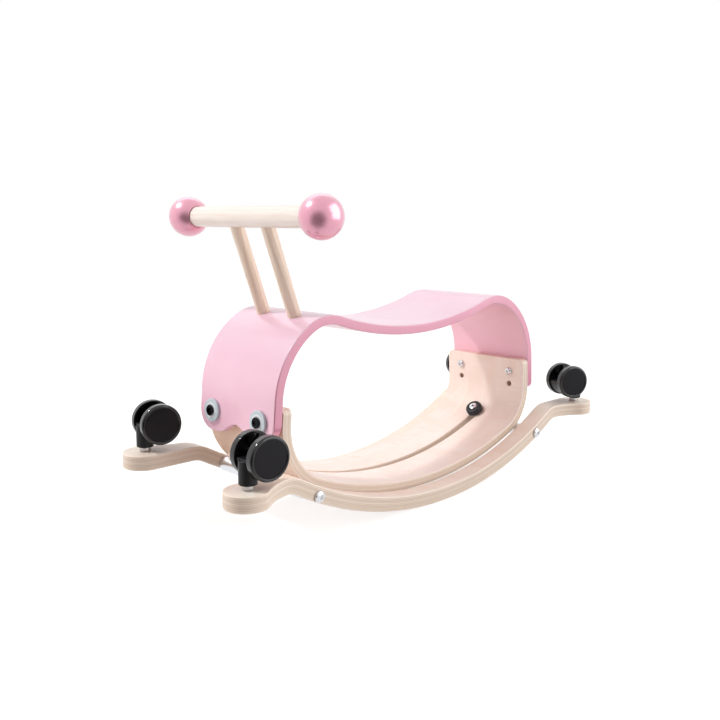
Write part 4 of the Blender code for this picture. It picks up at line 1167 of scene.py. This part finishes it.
def screw(name, head, shank_radius, shank_length):
    """A screw whose head stands on z = 0: head is (radius, height, crown, key width)."""
    radius, height, crown, key = head
    angles = [math.radians(a) for a in range(0, 90, 10)]
    profile = [
        (0, -shank_length), (shank_radius - TIP_CHAMFER, -shank_length),
        (shank_radius, TIP_HEIGHT - shank_length), (shank_radius, 0),
        (radius - HEAD_CHAMFER, 0), (radius, HEAD_CHAMFER),
        *((radius * math.cos(a), height - crown * (1 - math.sin(a))) for a in angles), (0, height),
    ]
    key_hole = lathe(name + "_key", rod(key / KEY_TO_CORNER, height / 2, height + KEY_ABOVE), 6)
    return carve(name, lathe(name, profile, 36), [("DIFFERENCE", key_hole, AS_DRAWN)], 35)


# %% Three kinds of screw
EYE_THICKNESS = 3.2 * MM
SCREW_RADIUS, BOLT_RADIUS = 3 * MM, 3.5 * MM
BOLT_BITE, SEAT_SCREW_BITE, EYE_SCREW_SHORT = 22 * MM, 7 * MM, 1 * MM
eye_depth = CRADLE_THICKNESS + GAP + SADDLE_THICKNESS + GAP
rail_bolt = screw("rail_bolt", (6.6 * MM, 4 * MM, 2.6 * MM, 5 * MM), BOLT_RADIUS, RAIL_WIDTH + BOLT_BITE)
eye_screw = screw("eye_screw", (6.1 * MM, 2.6 * MM, 1 * MM, 5 * MM), SCREW_RADIUS,
                  EYE_THICKNESS + GAP + eye_depth - EYE_SCREW_SHORT)
seat_screw = screw("seat_screw", (5.5 * MM, 3.4 * MM, 2.4 * MM, 4 * MM), SCREW_RADIUS,
                   CRADLE_THICKNESS + 2 * GAP + SEAT_SCREW_BITE)
print("screw meshes", len(rail_bolt.polygons), len(eye_screw.polygons), len(seat_screw.polygons), "faces")

# %% [markdown]
# The bolts go in from the rails' outer faces, one at each end of each tube. The two round washers
# sit on the saddle's front with a black screw in each, and two bright screws look into the seat
# from the rear upright. Each key is turned its own way, as nobody lines them up.

# %% Screws and washers in their places
bolt_x = RAIL_INNER_X + RAIL_WIDTH + GAP
bolt_spots = [
    (Vector((side * bolt_x, centre.y, centre.z)), Vector((side, 0, 0)), 0.4 + side + centre.y)
    for centre in tube_centres.values() for _, side in SIDES
]
set_copies("rail_bolts", rail_bolt, bolt_spots, chrome, "frame", "chrome",
           *(f"rail_bolt_{end}_{side_name}" for end in UPRIGHTS for side_name, _ in SIDES))

washer_profile = in_mm(
    (3.3, 0), (13, 0), (13, 2.5), (12.5, 2.9), (8.9, 2.9),
    (8.5, 3.2), (7, 3.2), (6.7, 2.8), (3.3, 2.8),  # the raised ring round the screw
)
washer = lathe("eye_washer", eased(washer_profile, 0.2 * MM), 64, 25)
washer_spots, eye_spots, seat_spots = [], [], []
for _, side in SIDES:
    place, normal = on_upright("front", side * EYE_X, EYE_Z, eye_depth)
    washer_spots.append((place, normal, 0.0))
    eye_spots.append((place + normal * (EYE_THICKNESS + GAP), normal, 0.3 + 0.8 * side))
    place, normal = on_upright("rear", side * SEAT_SCREW_X, SEAT_SCREW_Z, 0)
    seat_spots.append((place - normal * GAP, -normal, 0.5 - 0.6 * side))
for name, shape, spots, finish, slot in (
    ("eye_washer", washer, washer_spots, eye_plastic, "grey_plastic"),
    ("eye_screw", eye_screw, eye_spots, black_oxide, "black_steel"),
    ("seat_screw", seat_screw, seat_spots, chrome, "chrome"),
):
    set_copies(name + "s", shape, spots, finish, "frame", slot, name + "_left", name + "_right")

# %% [markdown]
# ## Cross tubes and clamps
# Two aluminium tubes tie the rails together and carry the cradle. Over each sits a black knob
# inside the cradle, whose screw runs through the slot into the tube and clamps all three. The
# knob's flat foot spans the hollow of the bend, so its height over the tube follows from the
# bend's radius.

# %% Tubes, knobs and clamp screws
tube_half = RAIL_INNER_X - GAP
tube_profile = eased(rod(TUBE_RADIUS, -tube_half, tube_half), 0.8 * MM)
tube_spots = [(centre, Vector((1, 0, 0)), 0.0) for centre in tube_centres.values()]
set_copies("cross_tubes", lathe("cross_tube", tube_profile, 64), tube_spots, drawn_aluminium,
           "frame", "aluminium", "cross_tube_front", "cross_tube_rear")

KNOB_RADIUS, KNOB_HEIGHT, KNOB_POCKET, CLAMP_BITE = 11.8 * MM, 9.5 * MM, 3 * MM, 12 * MM
knob_profile = in_mm(
    (3.3, 0), (10.8, 0), (11.8, 1.2), (11.8, 6.5), (10.9, 8.6), (8.8, 9.5),
    (6.8, 9.5), (6.8, 6.5), (3.3, 6.5),  # the pocket that takes the screw head
)
knob = lathe("clamp_knob", eased(knob_profile, 1.2 * MM, 5), 64)
for end, (_, bend, _, _) in UPRIGHTS.items():
    up = (bend_centres[end] - tube_centres[end]).normalized()
    base = bend + CRADLE_THICKNESS + TUBE_RADIUS - math.sqrt(bend**2 - KNOB_RADIUS**2) + 2 * GAP
    head_z = base + KNOB_HEIGHT - KNOB_POCKET + GAP
    clamp_screw = screw("clamp_screw", (5.6 * MM, 4 * MM, 1.2 * MM, 4 * MM), SCREW_RADIUS,
                        head_z - (TUBE_RADIUS - CLAMP_BITE + GAP))
    set_copies("knob_" + end, knob, [(tube_centres[end] + up * base, up, 0.0)], knob_plastic,
               "clamp_" + end, "black_plastic", "clamp_knob_" + end)
    set_copies("knob_screw_" + end, clamp_screw, [(tube_centres[end] + up * head_z, up, 0.6)], chrome,
               "clamp_" + end, "chrome", "clamp_screw_" + end)

# %% [markdown]
# ## Handlebar and posts
# Turned wood again: a round bar glued on two slanted posts. Each stick is turned about its own
# axis by a different angle, so that no two show the same figure of growth rings.

# %% Handlebar and posts
BAR_Y, BAR_Z, BAR_RADIUS, BAR_END = -221 * MM, 344.3 * MM, 11.5 * MM, 108.3 * MM
POST_X, POST_RADIUS, POST_LEAN, POST_BITE = 27 * MM, 7.7 * MM, math.radians(20.3), 8 * MM
bar_profile = eased(rod(BAR_RADIUS, -BAR_END, BAR_END), 1 * MM)
bar_spots = [(Vector((0, BAR_Y, BAR_Z)), Vector((1, 0, 0)), 2.2)]
set_copies("round_bar", lathe("round_bar", bar_profile, 72), bar_spots, bar_wood, "frame", "dowel", "handlebar")

down = Vector((0, math.sin(POST_LEAN), -math.cos(POST_LEAN)))
post_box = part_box("post_left")
lowest = (BAR_Z - post_box[0][2] - POST_RADIUS * math.sin(POST_LEAN)) / math.cos(POST_LEAN)
highest = BAR_RADIUS - POST_BITE + GAP
post_profile = eased(rod(POST_RADIUS, highest, lowest), 0.8 * MM)
post_spots = [(Vector((side * POST_X, BAR_Y, BAR_Z)), down, 1.0 + 2 * side) for _, side in SIDES]
set_copies("round_posts", lathe("round_post", post_profile, 56), post_spots, post_wood, "frame", "dowel",
           "post_left", "post_right")

# %% [markdown]
# ## Balls
# A ball sits on each end of the bar. It is bored to take the bar, and the rim of that bore is
# eased a little, so a thin shadow line shows where the bar goes in. A whole sphere pushed over the
# bar would look the same from afar, but it would lose that line.

# %% Balls
BALL_X, BALL_RADIUS, BORE_FLOOR = 114.3 * MM, 22.8 * MM, -6 * MM
BALL_STEPS = 44
ball_bore = BAR_RADIUS + GAP
mouth = math.degrees(math.asin((ball_bore + 0.8 * MM) / BALL_RADIUS))
angles = [math.radians(mouth + (180 - mouth) * i / BALL_STEPS) for i in range(BALL_STEPS)]
sphere = [(BALL_RADIUS * math.sin(a), -BALL_RADIUS * math.cos(a)) for a in angles]
mouth_z = sphere[0][1]
ball_profile = [
    (0, BORE_FLOOR + GAP), (ball_bore, BORE_FLOOR + GAP), (ball_bore, mouth_z + 0.7 * MM),
    (ball_bore + 0.25 * MM, mouth_z + 0.2 * MM), *sphere, (0, BALL_RADIUS),
]
ball_spots = [(Vector((side * BALL_X, BAR_Y, BAR_Z)), Vector((side, 0, 0)), 0.7 * side) for _, side in SIDES]
set_copies("round_balls", lathe("round_ball", ball_profile, 72, 50), ball_spots, ball_pink,
           "frame", "pink_gloss", "ball_left", "ball_right")

# %% [markdown]
# ## Casters
# Four twin-wheel casters point up from the paddles, so that the rocker turned over becomes a
# ride-on. Each has a steel stem with a collar, a nylon housing that swivels on it, and two wheels.
# At rest each one is swivelled its own way, as the photograph shows them.

# %% Caster stems
STEM_Y = PADDLE_Y - 2 * MM
COLLAR_RADIUS, COLLAR_HEIGHT = 6.4 * MM, 4.8 * MM
STEM_RADIUS, STEM_DEPTH, STEM_RISE = 4 * MM, 12 * MM, 16 * MM
CORNERS = {  # corner: (sign of X, sign of Y, how far it is swivelled at rest)
    "front_left": (1, -1, math.radians(-4)),
    "front_right": (-1, -1, math.radians(-12)),
    "rear_left": (1, 1, math.radians(155)),
    "rear_right": (-1, 1, math.radians(156)),
}
stem_top = COLLAR_HEIGHT + STEM_RISE
stem_profile = [
    (0, -STEM_DEPTH), (STEM_RADIUS, -STEM_DEPTH), (STEM_RADIUS, GAP), (COLLAR_RADIUS, GAP),
    (COLLAR_RADIUS, COLLAR_HEIGHT), (STEM_RADIUS, COLLAR_HEIGHT), (STEM_RADIUS, stem_top), (0, stem_top),
]
stem_place = {
    corner: Vector((sx * PADDLE_X, sy * STEM_Y, PADDLE_TOP)) for corner, (sx, sy, _) in CORNERS.items()
}
upward = Vector((0, 0, 1))
stem_spots = [(place, upward, 0.0) for place in stem_place.values()]
set_copies("caster_stems", lathe("caster_stem", eased(stem_profile, 0.6 * MM), 40), stem_spots, turned_steel,
           "frame", "steel", *("caster_stem_" + corner for corner in CORNERS))

# %% [markdown]
# The housing is one moulding: a round boss over the stem, a half disc that hangs between the
# wheels, and a hub round the axle. Such a body is easiest as separate simple shapes that exact
# Booleans join, and the same step bores it for the stem and the axle.

# %% Caster housings
CASTER_TRAIL, AXLE_HEIGHT, CASTER_WIDTH = 14 * MM, 31.5 * MM, 39 * MM
WHEEL_RADIUS, WHEEL_WIDTH = 23.1 * MM, 9 * MM
HOUSING_RADIUS, BOSS_RADIUS, HUB_RADIUS, AXLE_BORE = 21 * MM, 9.6 * MM, 5.5 * MM, 2.8 * MM
HOUSING_HALF = CASTER_WIDTH / 2 - WHEEL_WIDTH - 0.7 * MM


def half_disc():
    """The half disc between the wheels, with its edges rounded by a Bevel."""
    mesh = bmesh.new()
    curve = arc((CASTER_TRAIL, AXLE_HEIGHT), HOUSING_RADIUS, 0, -math.pi, math.radians(5))
    rim = [mesh.verts.new((-HOUSING_HALF, y, z)) for y, z in curve]
    grown = bmesh.ops.extrude_face_region(mesh, geom=[mesh.faces.new(rim)])
    moved = [item for item in grown["geom"] if isinstance(item, bmesh.types.BMVert)]
    bmesh.ops.translate(mesh, verts=moved, vec=(2 * HOUSING_HALF, 0, 0))
    bmesh.ops.recalc_face_normals(mesh, faces=mesh.faces)
    sharp = [edge for edge in mesh.edges if edge.calc_face_angle() > math.radians(60)]
    bmesh.ops.bevel(mesh, geom=sharp, offset=1.1 * MM, segments=3, profile=0.5, affect="EDGES",
                    clamp_overlap=True)
    return finished_mesh("housing_half_disc", mesh)


stem_bore, bore_top = STEM_RADIUS + GAP, stem_top + GAP
boss_low, boss_high = COLLAR_HEIGHT + GAP, AXLE_HEIGHT - 1.5 * MM
boss_profile = [
    (0, bore_top), (stem_bore, bore_top), (stem_bore, boss_low),
    (BOSS_RADIUS, boss_low), (BOSS_RADIUS, boss_high), (0, boss_high),
]
on_axle = Matrix.Translation((0, CASTER_TRAIL, AXLE_HEIGHT)) @ Matrix.Rotation(math.pi / 2, 4, "Y")
housing = carve("housing_boss", lathe("housing_boss", eased(boss_profile, 1.2 * MM, 4), 48), [
    ("UNION", half_disc(), AS_DRAWN),
    ("UNION", lathe("housing_hub", rod(HUB_RADIUS, -HOUSING_HALF, HOUSING_HALF), 40), on_axle),
    ("DIFFERENCE", lathe("housing_shaft", rod(stem_bore, boss_low - 1 * MM, bore_top), 48), AS_DRAWN),
    ("DIFFERENCE", lathe("housing_tunnel", rod(AXLE_BORE, -CASTER_WIDTH, CASTER_WIDTH), 24), on_axle),
], 32)
for corner, (_, _, turn) in CORNERS.items():
    set_copies("housing_" + corner, housing, [(stem_place[corner], upward, turn)], housing_nylon,
               "swivel_" + corner, "black_nylon", "caster_housing_" + corner)

# %% [markdown]
# The wheels are hollow inside, with a ring of ribs that keeps the moulding stiff. The ribs repeat
# round the axle, so a small tree sets one box on each point of a circle and turns it to face the
# middle. With its inputs named, the same tree would make a wheel with more ribs or fewer.

# %% Ribs tree
ribs_tree, given, out = group("wheel_ribs", "GeometryNodeTree", [
    ("INPUT", "Wheel", "Geometry", None),
    ("INPUT", "Ribs", "Int", 8),
    ("INPUT", "Ring Radius", "Float", 13.5 * MM),
    ("INPUT", "Rib Size", "Vector", (14.0 * MM, 1.1 * MM, 3.1 * MM)),
    ("INPUT", "Rib Height", "Float", 2.6 * MM),
    ("INPUT", "Finish", "Material", None),
    ("OUTPUT", "Ribbed", "Geometry", None),
])
circle = {"Vertices": given["Ribs"], "Radius": given["Ring Radius"]}
ring = put(ribs_tree, "GeometryNodeMeshCircle", circle).outputs[0]
rib = put(ribs_tree, "GeometryNodeMeshCube", {"Size": given["Rib Size"]}).outputs["Mesh"]
from_axle = ribs_tree.nodes.new("GeometryNodeInputPosition").outputs[0]
facing = put(ribs_tree, "FunctionNodeAlignRotationToVector", {"Vector": from_axle}, axis="X").outputs[0]
ribs = put(ribs_tree, "GeometryNodeInstanceOnPoints",
           {"Points": ring, "Instance": rib, "Rotation": facing}).outputs[0]
height = join(ribs_tree, z=given["Rib Height"])
raised = put(ribs_tree, "GeometryNodeTransform", {"Geometry": ribs, "Translation": height}).outputs[0]
joined = ribs_tree.nodes.new("GeometryNodeJoinGeometry")
for shape in (raised, given["Wheel"]):
    ribs_tree.links.new(shape, joined.inputs[0])
finish_tree(ribs_tree, joined.outputs[0], given["Finish"], out, "Ribbed")

# %% [markdown]
# ## Wheels
# A wheel is one turned section: a hollow web inside, a soft tread, a rounded shoulder and a flat
# cap set a little lower. Its glossy tread and its duller cap are one moulding, so one material
# does both, and tells them apart by how far a point is from the axle.

# %% Wheel nylon
CAP_RADIUS, CAP_LEAST_HEIGHT = 19.2 * MM, 6 * MM
CAP_FADE = (0.5 * MM, 0.2 * MM)


def wheel_nylon():
    made, tree, shader, where = start_material(
        "wheel_nylon", "stock", Specular_IOR_Level=0.16, Coat_Roughness=0.05
    )
    tread = use(tree, film_tree, Place=where, Peel_Scale=700.0, Rough_Low=0.22, Rough_High=0.3)
    matt = use(tree, film_tree, Place=where, Peel_Scale=1500.0, Rough_Low=0.42, Rough_High=0.55)
    inside_cap = ramp(tree, distance_from_axis(tree, where), *(CAP_RADIUS + fade for fade in CAP_FADE))
    cap = times(tree, inside_cap, calc(tree, "GREATER_THAN", split(tree, where)["Z"], CAP_LEAST_HEIGHT))
    dark = mix(tree, tread["Cloud"], rgb(9, 9, 11), rgb(14, 14, 17))
    grey = mix(tree, matt["Cloud"], rgb(16, 12, 17), rgb(22, 18, 22))
    rough = calc(tree, "ADD", times(tree, matt["Roughness"], cap),
                 times(tree, tread["Roughness"], calc(tree, "SUBTRACT", 1.0, cap)))
    tree.links.new(calc(tree, "MULTIPLY_ADD", cap, -0.75, 0.8), shader.inputs["Coat Weight"])
    coat_with(tree, shader, mix(tree, cap, dark, grey), rough, matt["Height"], 0.03 * MM)
    return made


wheel_finish = wheel_nylon()
print(wheel_finish.name, len(wheel_finish.node_tree.nodes), "nodes")

# %% Wheels
SHOULDER = 2.6 * MM
angles = [math.radians(a) for a in range(0, 91, 10)]
round_x, round_z = WHEEL_RADIUS - SHOULDER, WHEEL_WIDTH - SHOULDER
wheel_profile = [
    *in_mm((0, 7.3), (2.8, 7.3), (2.8, 0), (7, 0), (7, 4), (20.1, 4), (20.1, 0)),  # the hollow web
    *in_mm((22.3, 0), (22.9, 0.25), (23.1, 0.9)),  # the inner edge of the tread
    *((round_x + SHOULDER * math.cos(a), round_z + SHOULDER * math.sin(a)) for a in angles),
    *in_mm((20.2, 9), (19.8, 8.8), (19.5, 8.3), (19.2, 8.1)),  # the step down to the cap
    *in_mm((18.8, 8.3), (12, 8.4), (0, 8.5)),
]
ribbed = grow("ribbed_wheel", lathe("bare_wheel", wheel_profile, 64, 40), ribs_tree, Finish=wheel_finish)
wheel_shape = ribbed.data
bpy.data.objects.remove(ribbed)
for corner, (_, _, turn) in CORNERS.items():
    across = Vector((math.cos(turn), math.sin(turn), 0))
    forward = Vector((-math.sin(turn), math.cos(turn), 0))
    hub_place = stem_place[corner] + forward * CASTER_TRAIL + upward * AXLE_HEIGHT
    for part, way in (("a", 1), ("b", -1)):
        inner = hub_place + across * (way * (CASTER_WIDTH / 2 - WHEEL_WIDTH))
        set_copies(f"wheel_{corner}_{part}", wheel_shape, [(inner, across * way, 0.4 * way)], wheel_finish,
                   f"wheel_{corner}_{part}", "black_nylon", f"caster_wheel_{corner}_{part}")

# %% [markdown]
# The axles are plain rods that hardly show, so the CAD's own shapes stay and only get a finish.
# Their material reads Object coordinates, because those shapes carry no `stock` attribute.

# %% Axles
for corner in CORNERS:
    axle_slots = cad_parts["caster_axle_" + corner].material_slots
    axle_slots[0].material = axle_steel
    print("caster_axle_" + corner, "has", axle_slots[0].material.name)

# %% [markdown]
# ## A white studio
# The photograph is a cut-out on white with soft daylight and almost no shadow. The sky's strength
# therefore depends on the kind of ray: it is plain white for the camera, dimmer on the shaded side
# for soft light, and for mirrored rays it has one bright panel and a dark card, which give lacquer
# and steel something to show. A picture of a studio could do it; sums on the direction need none.

# %% Sky
WHITE = (1, 1, 1, 1)
SHADE_WAY = Vector((0.74, -0.67, 0.0)).normalized()
CARD_WAY = Vector((0.51, -0.82, -0.25)).normalized()
PANEL_GLOW = 0.75


def ray_kinds(tree):
    """Two masks: a ray straight from the camera, and a ray that was mirrored or let through."""
    rays = tree.nodes.new("ShaderNodeLightPath").outputs
    return rays["Is Camera Ray"], calc(tree, "MAXIMUM", rays["Is Glossy Ray"], rays["Is Transmission Ray"])


def dark_card(tree, way):
    """Full brightness that fades to almost none toward the card's direction."""
    return ramp(tree, vector_calc(tree, "DOT_PRODUCT", way, CARD_WAY), 0.6, 0.98, 1.0, 0.1)


bpy.context.scene.view_settings.view_transform = "Standard"
world = bpy.data.worlds.new("studio")
bpy.context.scene.world = world
world.use_nodes = True
sky = world.node_tree
direction = sky.nodes.new("ShaderNodeTexCoord").outputs["Generated"]
axis = split(sky, direction)
seen, shiny = ray_kinds(sky)
to_shade = vector_calc(sky, "DOT_PRODUCT", direction, SHADE_WAY)
soft = times(sky, ramp(sky, to_shade, 0.15, 0.88, 1.0, 0.12), ramp(sky, axis["Z"], 0.4, 1.0, 0.79, 0.56))
panel_across = times(sky, ramp(sky, axis["Y"], -0.05, 0.03), ramp(sky, axis["X"], -0.2, -0.4))
panel_up = times(sky, ramp(sky, axis["Z"], 0.5, 0.58), ramp(sky, axis["Z"], 0.9, 0.8))
shine = calc(sky, "MULTIPLY_ADD", times(sky, panel_across, panel_up), PANEL_GLOW, dark_card(sky, direction))
dimmed = calc(sky, "ADD", times(sky, shine, shiny), times(sky, soft, calc(sky, "SUBTRACT", 1.0, shiny)))
background = sky.nodes["Background"]
sky.links.new(calc(sky, "MAXIMUM", dimmed, seen), background.inputs["Strength"])
background.inputs["Color"].default_value = WHITE
print("sky", len(sky.nodes), "nodes")

# %% [markdown]
# The floor is one sheet of matt white paper. For soft light it is plain paper, so it throws light
# up under the toy. To the camera most of its white is its own glow, so only a faint shadow is
# left, as in the photograph. In mirrored rays it carries the same dark card as the sky, so the
# card doesn't end at the horizon; its direction is reckoned from a place on the handlebar.

# %% Floor
FLOOR_HALF = 8.0
floor_mesh = bpy.data.meshes.new("floor")
floor_corners = [(x * FLOOR_HALF, y * FLOOR_HALF, 0) for x, y in ((-1, -1), (1, -1), (1, 1), (-1, 1))]
floor_mesh.from_pydata(floor_corners, [], [(0, 1, 2, 3)])
floor = new_object("floor", floor_mesh)
print("floor", 2 * FLOOR_HALF, "m wide")

# %% White paper
CARD_EYE = (0.08, -0.22, 0.34)
DARK_PAPER, LIGHT_PAPER, LIT_PAPER = (0.70, 0.70, 0.70, 1), (0.74, 0.74, 0.74, 1), (0.40, 0.40, 0.40, 1)
PAPER_GLOW = 0.80
SPECK_SCALE = 300.0

paper = bpy.data.materials.new("white_paper")
paper.use_nodes = True
tree = paper.node_tree
tree.nodes.remove(tree.nodes["Principled BSDF"])


def emission(strength):
    return put(tree, "ShaderNodeEmission", {"Color": WHITE, "Strength": strength}).outputs[0]


def diffuse(colour):
    return put(tree, "ShaderNodeBsdfDiffuse", {"Color": colour}).outputs[0]


def choose(mask, without, within):
    return put(tree, "ShaderNodeMixShader", {0: mask, 1: without, 2: within}).outputs[0]


seen, shiny = ray_kinds(tree)
floor_place = tree.nodes.new("ShaderNodeTexCoord").outputs["Object"]
plain = diffuse(mix(tree, noise(tree, floor_place, SPECK_SCALE), DARK_PAPER, LIGHT_PAPER))
lit = put(tree, "ShaderNodeAddShader", {0: diffuse(LIT_PAPER), 1: emission(PAPER_GLOW)}).outputs[0]
floor_way = vector_calc(tree, "NORMALIZE", vector_calc(tree, "SUBTRACT", floor_place, CARD_EYE))
mirrored = emission(dark_card(tree, floor_way))
shown = choose(calc(tree, "MAXIMUM", seen, shiny), plain, choose(shiny, lit, mirrored))
tree.links.new(shown, tree.nodes["Material Output"].inputs["Surface"])
floor.data.materials.append(paper)
print(paper.name, len(tree.nodes), "nodes")

# %% [markdown]
# Three lamps stand round the toy, all aimed at its middle. In the picture a small window hangs
# high on the left, for crisp lights, a wide one stands on the right, and a warm fill stands low
# on the left and is kept out of all reflections. A Sun lamp would light the toy too, but its
# rays all come one way, so it would leave no window shapes in the gloss.

# %% Lamps
LAMP_DISTANCE = 2.2
LAMP_CENTRE = Vector((0, 0, 0.15))
LAMPS = {  # lamp: (way, size, power in watts, tint, shows in gloss)
    "key_window": ((-0.44, -0.51, 0.74), (0.15, 0.15), 22, (0.96, 0.99, 1.0), True),
    "side_window": ((0.78, 0.49, 0.39), (2.1, 2.4), 34, (0.98, 1.0, 1.0), True),
    "front_fill": ((-0.60, -0.79, 0.10), (1.4, 1.4), 16, (1.0, 0.95, 0.92), False),
}
for name, (way, size, power, tint, in_gloss) in LAMPS.items():
    lamp = bpy.data.lights.new(name, "AREA")
    lamp.shape = "RECTANGLE"
    lamp.size, lamp.size_y = size
    lamp.energy = power
    lamp.color = tint
    item = new_object(name, lamp)
    item.visible_glossy = in_gloss
    towards = Vector(way).normalized()
    turn = towards.to_track_quat("Z", "Y").to_matrix().to_4x4()
    item.matrix_world = Matrix.Translation(towards * LAMP_DISTANCE + LAMP_CENTRE) @ turn
    print(name, power, "W")
